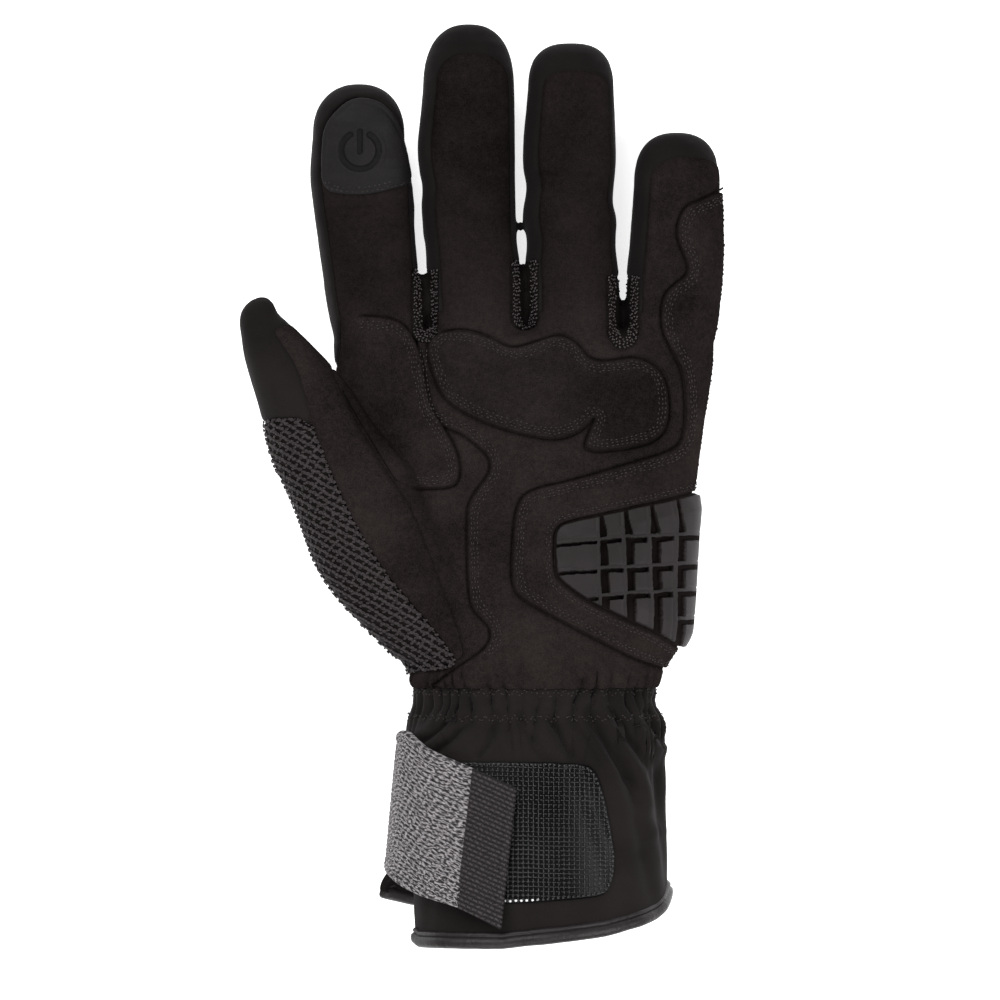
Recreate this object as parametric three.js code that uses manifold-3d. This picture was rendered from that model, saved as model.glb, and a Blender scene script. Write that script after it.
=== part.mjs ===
// A left-hand motorcycle glove with a short gauntlet cuff, lying on its back with the palm up.
// Millimetres. +X runs from the thumb to the little finger, +Y from the cuff to the fingertips,
// and +Z out of the palm. Every sewn piece is a thin wall of its own, and the hand, the five
// digits and the cuff are hollow and open into each other.

import * as THREE from 'three';
import { mergeVertices } from 'three/addons/utils/BufferGeometryUtils.js';
import Module from 'manifold-3d';

const wasm = await Module();
wasm.setup();

const WALL = 2.4; // outer cloth, membrane and lining together
const CUFF_WALL = 1.8;
const GAP = 0.3; // between neighbouring pieces
const OVERLAY = 1.0; // sewn-on suede and the fingertip patch
const PAD = 1.9; // the padded knuckle patch
const HOOK_PLATE = 1.3;
const HOOK_BOTTOM = 30; // the hook plate's lowest height round the cuff
const SLIDER_BASE = 1.2;
const SLIDER_BLOCK = 3.0;
const STRAP = 1.6;
const HAND_SIDES = { outside: 28, inside: 18 }; // points round a section
const DIGIT_SIDES = { outside: 14, inside: 8 };
const DOME_RINGS = { outside: 3, inside: 2 };
const ABOVE_ALL = 90; // a height over the whole glove
const BELOW_ALL = -10;
const BEYOND_ALL = 200; // and a distance in plan past its ends
const SAME_POINT = 1e-4; // corners nearer than this are one
const ARC_STEPS = { panel: 10, gusset: 4 }; // over half a turn
const DOME_REST = 0.6; // of a step, between a dome's last ring and its tip
const LINING_PAST = 1; // how far the lining runs past the wrist's edge
// How square a section is: 2 is an ellipse, and more is flatter.
const HAND_SQUARENESS = { palm: 2.3, back: 2.7 };
const CUFF_SQUARENESS = { palm: 2.2, back: 2.7 };
const MIDDLE = { x: 0.05, y: 0.0 }; // centre of the plan, measured from the drawing's own zero

// Hand: one row for each section across the palm. back and palm are the heights of the two faces,
// and hollow is how far the middle of the palm sinks. A back below zero is pressed flat.
const HAND = [
  { y: 46.5, left: -42.5, right: 66.3, back: 3.5, palm: 25.5, hollow: 0 },
  { y: 43.5, left: -45.0, right: 68.4, back: 0.5, palm: 29.5, hollow: 0 },
  { y: 33.3, left: -44.1, right: 67.2, back: -1.5, palm: 33.0, hollow: 1.5 },
  { y: 18.9, left: -41.1, right: 64.3, back: -1.5, palm: 36.0, hollow: 3.5 },
  { y: 3.0, left: -38.6, right: 62.2, back: -1.5, palm: 38.5, hollow: 4.5 },
  { y: -16.5, left: -38.2, right: 60.2, back: -1.5, palm: 40.8, hollow: 4.3 },
  { y: -34.5, left: -36.0, right: 58.0, back: -1.5, palm: 43.0, hollow: 3.0 },
  { y: -45.5, left: -31.5, right: 57.4, back: -1.5, palm: 44.2, hollow: 1.5 },
  { y: -50.5, left: -26.6, right: 55.6, back: -1.5, palm: 44.4, hollow: 0.9 },
  { y: -55.0, left: -21.6, right: 53.2, back: -1.5, palm: 44.5, hollow: 0.5 },
  { y: -61.5, left: -20.6, right: 51.4, back: -1.5, palm: 44.5, hollow: 0 },
];

// Fingers: one row for each section, from the root to where the rounded tip starts.
const FINGERS = {
  index: {
    tip: { y: 120.1, z: 21.0 },
    roundness: 2.1,
    rows: [
      { y: 38.0, left: -43.4, right: -17.6, back: 4.5, palm: 26.0 },
      { y: 49.5, left: -45.7, right: -16.5, back: 1.8, palm: 29.0 },
      { y: 66.0, left: -48.0, right: -19.3, back: 1.0, palm: 27.0 },
      { y: 85.5, left: -51.0, right: -21.6, back: 3.0, palm: 28.2 },
      { y: 93.5, left: -51.8, right: -21.8, back: 4.4, palm: 29.3 },
      { y: 105.3, left: -51.6, right: -23.4, back: 7.4, palm: 30.8 },
    ],
  },
  middle: {
    tip: { y: 138.0, z: 24.5 },
    roundness: 2.1,
    rows: [
      { y: 38.0, left: -13.4, right: 10.4, back: 4.5, palm: 27.0 },
      { y: 49.5, left: -15.5, right: 12.4, back: 1.8, palm: 30.0 },
      { y: 62.1, left: -16.9, right: 11.8, back: 1.0, palm: 28.6 },
      { y: 69.0, left: -16.5, right: 10.9, back: 1.0, palm: 27.8 },
      { y: 83.7, left: -18.3, right: 9.8, back: 2.4, palm: 28.2 },
      { y: 100.5, left: -19.3, right: 9.6, back: 5.6, palm: 30.6 },
      { y: 118.5, left: -18.0, right: 9.2, back: 10.6, palm: 33.6 },
    ],
  },
  ring: {
    tip: { y: 132.3, z: 23.6 },
    roundness: 2.5,
    rows: [
      { y: 38.0, left: 15.6, right: 38.8, back: 4.5, palm: 26.5 },
      { y: 49.5, left: 13.4, right: 41.2, back: 1.8, palm: 29.6 },
      { y: 58.8, left: 12.9, right: 41.2, back: 1.0, palm: 28.4 },
      { y: 72.0, left: 11.9, right: 39.5, back: 1.3, palm: 27.6 },
      { y: 84.6, left: 12.4, right: 38.9, back: 3.0, palm: 28.2 },
      { y: 100.5, left: 11.4, right: 39.6, back: 6.2, palm: 30.4 },
      { y: 117.9, left: 12.9, right: 39.1, back: 10.6, palm: 33.0 },
    ],
  },
  little: {
    tip: { y: 105.6, z: 20.5 },
    roundness: 2.3,
    rows: [
      { y: 38.0, left: 44.6, right: 66.2, back: 4.5, palm: 24.5 },
      { y: 47.0, left: 42.9, right: 68.8, back: 2.4, palm: 28.0 },
      { y: 55.5, left: 43.2, right: 69.7, back: 1.5, palm: 27.0 },
      { y: 73.0, left: 44.0, right: 70.8, back: 2.5, palm: 26.4 },
      { y: 89.7, left: 45.1, right: 70.8, back: 6.2, palm: 28.6 },
    ],
  },
};

// Thumb: the sections lie across a slanting axis, so each row gives both ends of its chord.
const THUMB = {
  tip: { x: -66.9, y: 55.8, z: 30.5 },
  beyond: { leftX: -76.0, leftY: 58.0, rightX: -62.0, rightY: 64.0 }, // a chord past the tip
  roundness: 2.1,
  rows: [
    { leftX: -25.6, leftY: -52.2, rightX: 4.5, rightY: -38.5, back: 8.0, palm: 37.0 },
    { leftX: -42.4, leftY: -35.5, rightX: -4.6, rightY: -18.2, back: 6.0, palm: 43.0 },
    { leftX: -50.0, leftY: -24.3, rightX: -13.0, rightY: -7.4, back: 6.5, palm: 45.0 },
    { leftX: -54.1, leftY: -13.5, rightX: -19.8, rightY: 1.9, back: 8.5, palm: 45.8 },
    { leftX: -58.3, leftY: -2.7, rightX: -27.2, rightY: 11.3, back: 11.0, palm: 45.4 },
    { leftX: -63.3, leftY: 7.5, rightX: -34.4, rightY: 20.3, back: 13.5, palm: 44.2 },
    { leftX: -66.9, leftY: 22.5, rightX: -43.9, rightY: 32.8, back: 17.8, palm: 41.8 },
    { leftX: -71.1, leftY: 36.9, rightX: -54.1, rightY: 44.5, back: 21.0, palm: 39.4 },
    { leftX: -72.0, leftY: 46.0, rightX: -60.2, rightY: 51.3, back: 23.8, palm: 36.8 },
  ],
};

// Cuff: one row for each section. fall is how much of the hem's slant the section has, gather is
// the depth of the elastic's pleats there, crease that of the long folds under them, and floor the
// lowest height, as the hem lies on its binding.
const CUFF = [
  { y: -61.8, left: -20.8, right: 51.6, back: -1.5, palm: 44.8, fall: 0, gather: 0.5, crease: 0,
    floor: 0 },
  { y: -64.0, left: -20.2, right: 51.0, back: -1.5, palm: 44.6, fall: 0, gather: 1.0, crease: 0,
    floor: 0 },
  { y: -70.5, left: -20.6, right: 51.8, back: -1.5, palm: 45.0, fall: 0, gather: 1.0, crease: 0,
    floor: 0 },
  { y: -73.5, left: -21.0, right: 53.8, back: -1.5, palm: 47.0, fall: 0, gather: 0.8, crease: 0.5,
    floor: 0 },
  { y: -82.0, left: -21.2, right: 54.2, back: -1.5, palm: 50.0, fall: 0.1, gather: 0.3, crease: 1,
    floor: 0 },
  { y: -95.0, left: -21.4, right: 54.4, back: -1.5, palm: 52.2, fall: 0.35, gather: 0, crease: 0.9,
    floor: 0 },
  { y: -108.0, left: -21.4, right: 54.7, back: -1.3, palm: 53.5, fall: 0.7, gather: 0, crease: 0.5,
    floor: 0.8 },
  { y: -121.5, left: -21.6, right: 55.2, back: -1.0, palm: 54.5, fall: 1, gather: 0, crease: 0,
    floor: 1.4 },
];
const PLEATS = 30; // round the elastic
// The long folds: where each one starts under the elastic, where it ends at the hem, and its size.
const CREASES = [
  { startDeg: 28, endDeg: 8, depth: 2.2, spreadDeg: 7 },
  { startDeg: 55, endDeg: 30, depth: 2.0, spreadDeg: 6 },
  { startDeg: 84, endDeg: 50, depth: 1.3, spreadDeg: 6 },
  { startDeg: 128, endDeg: 150, depth: 1.0, spreadDeg: 6 },
  { startDeg: 320, endDeg: 335, depth: 0.8, spreadDeg: 7 },
];
// How far the hem lies below the last section, going round from the little finger's side. The slit
// is on the thumb's side, where the two flaps end at different lengths.
const HEM_FALL = [
  { deg: 0, fall: -0.3 },
  { deg: 28, fall: 5.4 },
  { deg: 62, fall: 10.2 },
  { deg: 105, fall: 14.5 },
  { deg: 157, fall: 14.7 },
  { deg: 172, fall: 12.0 },
  { deg: 186, fall: 1.5 },
  { deg: 204, fall: 4.0 },
  { deg: 228, fall: 5.0 },
  { deg: 270, fall: 2.0 },
  { deg: 315, fall: -1.0 },
  { deg: 360, fall: -0.3 },
];
const SLIT = { fromDeg: 170, toDeg: 190, topY: -98, topWidth: 0.1, bottomY: -150, reach: 2 };
const FLARE = { deg: 190, spreadDeg: 13, out: 8.0, topY: -104 }; // the back flap stands out here

// The binding reaches above the hem by its seat and keeps clear of the cuff's edge inside its fold.
// It ends this many pleats to each side of the little finger's side.
const HEM_BINDING = { width: 4.8, leather: 0.9, clear: 0.5, clearBelow: 0.8, seat: 3.0, pleats: 14,
  round: 0.4 };

// Outlines in plan. Each is a closed run of [x, y] corners.
const KNUCKLE_PAD = [
  [-17.2, 41.0], [-12.6, 44.2], [-6.3, 45.2], [2.4, 43.2], [8.4, 39.8], [14.4, 41.4], [22.5, 43.8],
  [28.0, 41.6], [32.6, 36.6], [39.0, 36.6], [46.0, 38.0], [52.2, 34.8], [55.6, 28.0], [55.6, 18.6],
  [51.4, 12.8], [42.4, 10.6], [30.4, 9.8], [31.8, 15.2], [34.2, 21.0], [30.2, 17.2], [23.0, 13.6],
  [14.0, 14.6], [2.2, 18.0], [-8.4, 23.1], [-13.6, 29.0],
];
const THUMB_CROTCH_PATCH = [
  [-40.6, 49.6], [-31.8, 50.2], [-24.5, 48.2], [-19.8, 41.6], [-17.8, 31.5], [-15.8, 22.8],
  [-11.2, 15.6], [-7.4, 8.4], [-7.0, 2.2], [-10.0, -0.7], [-14.8, 0.6], [-21.0, 9.0],
  [-27.4, 17.2], [-34.6, 26.0], [-40.2, 33.6],
];
const HEEL_PATCH = [
  [78.0, 88.8], [72.2, 88.6], [65.2, 85.0], [60.9, 83.7], [58.4, 79.0], [58.2, 73.4], [61.2, 67.0],
  [61.3, 62.6], [56.3, 59.2], [53.9, 55.4], [53.6, 46.6], [57.0, 40.4], [60.2, 33.8], [61.2, 22.6],
  [60.2, 13.6], [56.4, 8.8], [44.0, 5.6], [26.0, 0.6], [14.2, -1.6], [9.9, -6.0], [8.8, -20.0],
  [9.2, -31.5], [14.2, -35.4], [35.0, -46.0], [47.0, -52.0], [58.0, -55.4], [70.0, -56.0],
  [82.0, -30.0], [82.0, 60.0],
];
const PALM_SLIDER = [
  [21.4, -18.3], [21.9, -13.9], [24.6, -11.5], [41.7, -7.7], [57.0, -4.3], [64.4, -1.8],
  [70.0, -2.0], [70.0, -36.0], [63.0, -46.8], [58.9, -48.4], [50.9, -44.1], [35.6, -37.2],
  [28.7, -33.3], [23.2, -28.9], [21.7, -26.6],
];
const TOUCH_PATCH = [
  [-47.9, 88.6], [-48.0, 96.5], [-46.6, 105.0], [-42.4, 111.6], [-37.2, 114.6], [-32.0, 113.8],
  [-27.6, 110.2], [-24.8, 104.2], [-23.0, 96.0], [-22.2, 88.2], [-30.0, 87.0], [-37.5, 86.4],
  [-43.5, 87.2],
];
const THUMB_KNIT = [
  [-51.7, 20.2], [-66.0, 19.8], [-80.0, 14.0], [-74.0, -12.0], [-54.0, -44.0], [-31.0, -60.0],
  [-20.0, -57.5], [-13.6, -55.6], [-7.9, -53.4], [-7.2, -51.6], [-13.9, -43.4], [-22.3, -34.2],
  [-29.2, -22.7], [-35.3, -12.0], [-40.6, 0.3], [-45.3, 8.7], [-49.4, 15.8],
];
const THUMB_PALM = [
  [-51.7, 20.2], [-53.2, 24.8], [-56.7, 34.0], [-60.2, 42.4], [-63.6, 49.6], [-60.0, 60.0],
  [-51.0, 49.0], [-47.0, 39.0], [-44.4, 33.2], [-41.6, 30.2], [-32.6, 16.8], [-17.6, -0.2],
  [-14.8, -10.0], [-10.6, -30.0], [-5.0, -49.5], [-13.9, -43.4], [-22.3, -34.2], [-29.2, -22.7],
  [-35.3, -12.0], [-40.6, 0.3], [-45.3, 8.7],
];
const PALM = [
  [-44.0, 47.5], [-43.6, 38.0], [-43.4, 31.0], [-32.6, 16.8], [-17.6, -0.2], [-14.8, -10.0],
  [-10.6, -30.0], [-5.0, -49.5], [-12.0, -56.4], [-20.0, -58.2], [-30.0, -60.0], [-30.0, -64.0],
  [90.0, -64.0], [90.0, 47.5],
];
const HOOK_PATCH = [
  [-11.0, -84.4], [33.0, -84.0], [35.6, -86.4], [37.4, -95.0], [38.9, -106.5], [38.9, -115.8],
  [37.4, -120.8], [33.4, -122.3], [20.0, -123.6], [5.0, -124.4], [-11.0, -124.4],
];

// How far the thumb's two panels reach round it, below its middle height.
const KNIT_WRAP = 5;
const PALM_WRAP = 1;

// The palm leather's seam lies inside each finger's outline: by how much on each side and the tip.
const FINGER_SEAM = {
  index: { left: 2.6, right: 0.9, tip: 5.0 },
  middle: { left: 3.2, right: 1.1, tip: 8.4 },
  ring: { left: 3.6, right: 1.0, tip: 6.2 },
  little: { left: 4.2, right: -3.0, tip: 7.0 },
};
const PANEL_FOOT = 40; // y where the fingers' panels run into the palm
const KNIT_GUSSETS = [
  { name: 'knit_gusset_index_middle', left: -20.4, right: -12.6, bottom: 41.6, top: 63.8 },
  { name: 'knit_gusset_middle_ring', left: 8.8, right: 16.6, bottom: 42.4, top: 66.4 },
  { name: 'knit_gusset_ring_little', left: 37.2, right: 47.0, bottom: 40.8, top: 61.6 },
];
const GUSSET_BACK_SEAM = 7.0; // height where the knit meets the back of the glove

// The digits' backs are shells of their own, sewn to the back of the hand along these lines.
const FINGER_BACK_SEAM = 47.0; // y
const THUMB_BACK = [
  [-46.5, 70.0], [-46.5, 40.0], [-44.6, 33.3], [-42.0, 18.9], [-39.4, 3.0], [-38.9, -16.5],
  [-36.8, -34.5], [-32.4, -45.5], [-34.0, -50.0], [-90.0, -50.0], [-90.0, 70.0],
];
const SHELL_REACH = 0.15; // how far a digit's own space reaches past its skin

// The slider's grooves, as lines across it: columns by their top and bottom x, rows by their y.
const SLIDER_COLUMNS = [
  { topX: 35.2, bottomX: 36.4 }, { topX: 43.6, bottomX: 44.8 },
  { topX: 52.0, bottomX: 52.4 }, { topX: 60.0, bottomX: 58.2 },
];
const SLIDER_ROWS = [
  { leftY: -18.4, rightY: -14.6 }, { leftY: -27.2, rightY: -23.4 }, { leftY: -35.2, rightY: -31.2 },
];
const SLIDER_SPAN = { left: 18, right: 72, bottom: -52, top: 2 }; // the grooves run this far
const GROOVE = 1.7;
const SLIDER_BOTTOM = 16; // the slider ends at this height on the little finger's side
const PATCH_BOTTOM = 14; // and the sewn-on patches at this one
const WINDOW_CLEAR = 0.5; // round the slider

// The round sign pressed into the fingertip patch: an open ring with a short bar in the gap.
const SIGN = { x: -37.0, y: 100.2, outer: 6.2, inner: 4.5, gapDeg: 38, sides: 14, bar: 1.6,
  barTop: 6.6, barBottom: -0.8, depth: 0.5 };

// The strap winds round the thumb's side of the cuff: it starts low on the back, slants towards
// the hem and ends loose over the hook patch. Each row gives its upper and its lower edge: the
// angle round the cuff, the y, and how far its outer face stands off the cuff.
const STRAP_ROWS = [
  { upperDeg: 207, upperY: -62.5, upperOut: 3.1, lowerDeg: 207, lowerY: -110.0, lowerOut: 2.6 },
  { upperDeg: 194, upperY: -65.6, upperOut: 3.2, lowerDeg: 194, lowerY: -115.0, lowerOut: 6.4 },
  { upperDeg: 180, upperY: -69.0, upperOut: 3.2, lowerDeg: 180, lowerY: -119.6, lowerOut: 7.4 },
  { upperDeg: 160, upperY: -73.4, upperOut: 3.4, lowerDeg: 162, lowerY: -121.8, lowerOut: 7.2 },
  { upperDeg: 138, upperY: -78.4, upperOut: 3.8, lowerDeg: 143, lowerY: -123.6, lowerOut: 6.2 },
  { upperDeg: 112, upperY: -84.9, upperOut: 4.0, lowerDeg: 121, lowerY: -126.2, lowerOut: 5.0 },
  { upperDeg: 96.5, upperY: -91.5, upperOut: 4.0, lowerDeg: 103, lowerY: -133.5, lowerOut: 4.2 },
];
const TAB_FROM_ROW = 5; // the tab is the stretch from this row on
const STRAP_STEPS = 3; // between two rows

const rad = THREE.MathUtils.degToRad;
const material = (color, roughness) => new THREE.MeshStandardMaterial({ color, roughness, metalness: 0 });
const suede = material('#231f20', 0.95);
const softshell = material('#1d1b1c', 0.8);
const knit = material('#242223', 0.9);
const rubber = material('#454244', 0.6);
const leather = material('#2b2829', 0.45);
const hookPlastic = material('#15161a', 0.25);
const melange = material('#8a8789', 0.9);
const ripstop = material('#3d3b3d', 0.8);

// A closed solid from rings of points, each ring with the same number, and a point at each end.
function skin(rings, first, last) {
  const count = rings[0].length;
  const positions = rings.flat().concat([first, last]).flatMap((p) => [p.x, p.y, p.z]);
  const [start, end] = [rings.length * count, rings.length * count + 1];
  const faces = [];
  for (let j = 0; j < count; j++) {
    const k = (j + 1) % count;
    faces.push(start, j, k);
    for (let i = 0; i + 1 < rings.length; i++) {
      const [a, b] = [i * count + j, i * count + k];
      const [c, d] = [b + count, a + count];
      faces.push(a, d, b, b, d, c);
    }
    faces.push(end, (rings.length - 1) * count + k, (rings.length - 1) * count + j);
  }
  const geometry = new THREE.BufferGeometry();
  geometry.setAttribute('position', new THREE.Float32BufferAttribute(positions, 3));
  geometry.setIndex(faces);
  return solidOf(geometry);
}

function solidOf(geometry) {
  return new wasm.Manifold(new wasm.Mesh({
    numProp: 3,
    vertProperties: new Float32Array(geometry.attributes.position.array),
    triVerts: new Uint32Array(geometry.index.array),
  }));
}

const centreOf = (ring) => ring
  .reduce((sum, p) => sum.add(p), new THREE.Vector3())
  .divideScalar(ring.length);

const power = (value, exponent) => Math.sign(value) * Math.abs(value) ** exponent;

// One section: a rounded oblong between two chord ends, flatter on the back than on the palm.
function section(row, grow, { outside, inside }) {
  const sides = grow < 0 ? inside : outside;
  const left = new THREE.Vector3(row.leftX, row.leftY, 0);
  const right = new THREE.Vector3(row.rightX, row.rightY, 0);
  const across = right.clone().sub(left);
  const half = across.length() / 2 + grow;
  across.normalize();
  const middle = left.add(right).divideScalar(2).setZ((row.back + row.palm) / 2);
  const height = (row.palm - row.back) / 2 + grow;
  const floor = Math.max(0, -grow);
  const ring = [];
  for (let j = 0; j < sides; j++) {
    const t = (j / sides) * 2 * Math.PI;
    const squareness = Math.sin(t) > 0 ? HAND_SQUARENESS.palm : HAND_SQUARENESS.back;
    const u = power(Math.cos(t), 2 / squareness);
    let z = middle.z + height * power(Math.sin(t), 2 / squareness);
    if (Math.sin(t) > 0) z -= (row.hollow ?? 0) * (1 - u * u) ** 2;
    const p = middle.clone().addScaledVector(across, u * half);
    ring.push(p.setZ(Math.max(z, floor)));
  }
  return ring;
}

const straight = (row) => ({ ...row, leftX: row.left, rightX: row.right, leftY: row.y, rightY: row.y });

// The lining follows every second section and the last one.
const kept = (rows, grow) => rows.filter((_, i) => grow >= 0 || i % 2 === 0 || i === rows.length - 1);

// A digit: its sections, then a dome that closes the tip.
function digit(rows, tip, roundness, grow) {
  const rings = kept(rows, grow).map((row) => section(row, grow, DIGIT_SIDES));
  const root = rings.at(-1);
  const centre = centreOf(root);
  const reach = tip.clone().sub(centre);
  reach.setLength(reach.length() + grow);
  const domeRings = grow < 0 ? DOME_RINGS.inside : DOME_RINGS.outside;
  for (let k = 1; k <= domeRings; k++) {
    const angle = rad((90 * k) / (domeRings + DOME_REST));
    const shrink = Math.cos(angle) ** (2 / roundness);
    const along = Math.sin(angle) ** (2 / roundness);
    const shift = reach.clone().multiplyScalar(along);
    rings.push(root.map((p) => p.clone().sub(centre).multiplyScalar(shrink).add(centre).add(shift)));
  }
  return skin(rings, centreOf(rings[0]), centre.clone().add(reach));
}

const fingerNames = Object.keys(FINGERS);

function finger(name, grow) {
  const { rows, tip, roundness } = FINGERS[name];
  const last = rows.at(-1);
  const point = new THREE.Vector3((last.left + last.right) / 2, tip.y, tip.z);
  return digit(rows.map(straight), point, roundness, grow);
}

const thumb = (grow) =>
  digit(THUMB.rows, new THREE.Vector3(THUMB.tip.x, THUMB.tip.y, THUMB.tip.z), THUMB.roundness, grow);

function hand(grow) {
  const rows = kept(HAND.map(straight).reverse(), grow);
  if (grow < 0) {
    const y = rows[0].leftY - LINING_PAST;
    rows[0] = { ...rows[0], leftY: y, rightY: y };
  }
  const rings = rows.map((row) => section(row, grow, HAND_SIDES));
  const last = rings.at(-1);
  last.forEach((p) => p.setY(p.y + grow));
  return skin(rings, centreOf(rings[0]), centreOf(last));
}

const joined = (solids) => solids.reduce((a, b) => a.add(b));

// The hand and its digits as one body, grown or shrunk all round.
const whole = (grow) => joined([hand(grow), thumb(grow), ...fingerNames.map((n) => finger(n, grow))]);

const BEYOND = 9; // how far a cutting space reaches past the body on each side

// The space over a run of sections, from a given distance below their middle height upwards.
function spaceOver(rows, below) {
  const rings = rows.map((row) => {
    const [left, right] = [[row.leftX, row.leftY], [row.rightX, row.rightY]];
    const across = new THREE.Vector2(right[0] - left[0], right[1] - left[1]).setLength(BEYOND);
    const low = (row.back + row.palm) / 2 - below;
    const corner = ([x, y], side, z) => new THREE.Vector3(x + side * across.x, y + side * across.y, z);
    return [corner(right, 1, low), corner(right, 1, ABOVE_ALL), corner(left, -1, ABOVE_ALL),
      corner(left, -1, low)];
  });
  return skin(rings, centreOf(rings[0]), centreOf(rings.at(-1)));
}

function overFingers(below) {
  return joined(fingerNames.map((name) => {
    const rows = FINGERS[name].rows.map(straight);
    const last = rows.at(-1);
    const beyond = FINGERS[name].tip.y + BEYOND;
    return spaceOver([...rows, { ...last, leftY: beyond, rightY: beyond }], below);
  }).concat(spaceOver([...HAND, { ...HAND.at(-1), y: HAND.at(-1).y - BEYOND }].map(straight).reverse()
    .concat([straight({ ...HAND[0], y: HAND[0].y + WALL })]), below)));
}

function overThumb(below) {
  return spaceOver([...THUMB.rows, { ...THUMB.rows.at(-1), ...THUMB.beyond }], below);
}

// A plan outline from its corners, moved outwards by a distance.
const outline = (corners, grow = 0) => grown(corners.map(([x, y]) => new THREE.Vector2(x, y)), grow);

function grown(points, grow) {
  const count = points.length;
  const area = points.reduce((sum, p, i) => {
    const q = points[(i + 1) % count];
    return sum + p.x * q.y - q.x * p.y;
  }, 0);
  return points.map((p, i) => {
    const edge = points[(i + 1) % count].clone().sub(points[(i + count - 1) % count]).normalize();
    return new THREE.Vector2(p.x + Math.sign(area) * edge.y * grow, p.y - Math.sign(area) * edge.x * grow);
  });
}

// An upright prism over a plan outline.
function prism(points, bottom = BELOW_ALL) {
  const geometry = new THREE.ExtrudeGeometry(new THREE.Shape(points),
    { depth: ABOVE_ALL - bottom, bevelEnabled: false });
  geometry.deleteAttribute('normal');
  geometry.deleteAttribute('uv');
  geometry.translate(0, 0, bottom);
  return solidOf(mergeVertices(geometry, SAME_POINT));
}

// The plan of one finger's palm-side panel, inside the finger's own outline.
function fingerPlan(name, grow) {
  const { rows, tip, roundness } = FINGERS[name];
  const seam = FINGER_SEAM[name];
  const upper = rows.slice(1);
  const last = upper.at(-1);
  const left = last.left + seam.left - grow;
  const right = last.right - seam.right + grow;
  const dome = [];
  for (let k = 1; k < ARC_STEPS.panel; k++) {
    const angle = (Math.PI * k) / ARC_STEPS.panel;
    const x = (left + right) / 2 + ((right - left) / 2) * power(Math.cos(angle), 2 / roundness);
    const y = last.y + (tip.y - seam.tip + grow - last.y) * Math.sin(angle) ** (2 / roundness);
    dome.push(new THREE.Vector2(x, y));
  }
  const rightSide = upper.map((r) => new THREE.Vector2(r.right - seam.right + grow, r.y));
  const leftSide = upper.map((r) => new THREE.Vector2(r.left + seam.left - grow, r.y)).reverse();
  const foot = [leftSide.at(-1), rightSide[0]].map((p) => new THREE.Vector2(p.x, PANEL_FOOT));
  return [...foot, ...rightSide, ...dome, ...leftSide];
}

function gussetPlan({ left, right, bottom, top }, grow) {
  const radius = (right - left) / 2;
  const middle = (left + right) / 2;
  const round = Array.from({ length: ARC_STEPS.gusset + 1 }, (_, k) => {
    const angle = Math.PI * (1 + k / ARC_STEPS.gusset);
    return new THREE.Vector2(middle + radius * Math.cos(angle), bottom + radius * (1 + Math.sin(angle)));
  });
  return grown([...round, new THREE.Vector2(right, top), new THREE.Vector2(left, top)], grow);
}

// Only the main body is kept where a cut leaves crumbs: triangles that share an edge belong together.
function largest(solid) {
  const { numProp, vertProperties, triVerts } = solid.getMesh();
  const triangles = [];
  for (let i = 0; i < triVerts.length; i += 3) triangles.push([...triVerts.slice(i, i + 3)]);
  const owner = triangles.map((_, i) => i);
  const rootOf = (i) => {
    while (owner[i] !== i) i = owner[i];
    return i;
  };
  const edges = new Map();
  triangles.forEach((t, i) => t.forEach((corner, k) => {
    const next = t[(k + 1) % t.length];
    const edge = `${Math.min(corner, next)} ${Math.max(corner, next)}`;
    if (edges.has(edge)) owner[rootOf(i)] = rootOf(edges.get(edge));
    edges.set(edge, i);
  }));
  const bodies = new Map();
  triangles.forEach((t, i) => bodies.set(rootOf(i), (bodies.get(rootOf(i)) ?? []).concat(t)));
  const main = [...bodies.values()].reduce((a, b) => (a.length > b.length ? a : b));
  const corners = main.map((i) => [...vertProperties.slice(i * numProp, i * numProp + 3)]);
  const geometry = new THREE.BufferGeometry();
  geometry.setAttribute('position', new THREE.Float32BufferAttribute(corners.flat(), 3));
  return solidOf(mergeVertices(geometry, SAME_POINT));
}

const glove = new THREE.Group();
const parts = new THREE.Group();
parts.position.set(-MIDDLE.x, -MIDDLE.y, 0);
glove.add(parts);

function add(name, solid, finish) {
  const { numProp, vertProperties, triVerts } = solid.getMesh();
  const geometry = new THREE.BufferGeometry();
  const positions = [];
  for (let i = 0; i < vertProperties.length; i += numProp) {
    positions.push(vertProperties[i], vertProperties[i + 1], vertProperties[i + 2]);
  }
  geometry.setAttribute('position', new THREE.Float32BufferAttribute(positions, 3));
  geometry.setIndex([...triVerts]);
  geometry.computeVertexNormals();
  const mesh = new THREE.Mesh(geometry, finish);
  mesh.name = name;
  parts.add(mesh);
}

// The hand's hollow wall, cut into its sewn panels: each cut takes a panel and leaves a seam gap.
let wall = whole(0).subtract(whole(-WALL));

function cutPanel(name, region, regionWithGap, finish) {
  add(name, largest(wall.intersect(region)), finish);
  wall = wall.subtract(regionWithGap);
}

cutPanel('thumb_knit_panel',
  prism(outline(THUMB_KNIT)).intersect(overThumb(KNIT_WRAP)),
  prism(outline(THUMB_KNIT, GAP)).intersect(overThumb(KNIT_WRAP + GAP)), knit);
cutPanel('thumb_palm_panel',
  prism(outline(THUMB_PALM)).intersect(overThumb(PALM_WRAP)),
  prism(outline(THUMB_PALM, GAP)).intersect(overThumb(PALM_WRAP + GAP)), suede);
for (const gusset of KNIT_GUSSETS) {
  cutPanel(gusset.name, prism(gussetPlan(gusset, 0), GUSSET_BACK_SEAM),
    prism(gussetPlan(gusset, GAP), GUSSET_BACK_SEAM - GAP), knit);
}
const palmPlan = (grow) => joined([
  prism(outline(PALM, grow)),
  ...fingerNames.map((name) => prism(fingerPlan(name, grow)))]);
cutPanel('palm_panel', palmPlan(0).intersect(overFingers(0)),
  palmPlan(GAP).intersect(overFingers(GAP)), suede);
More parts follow.
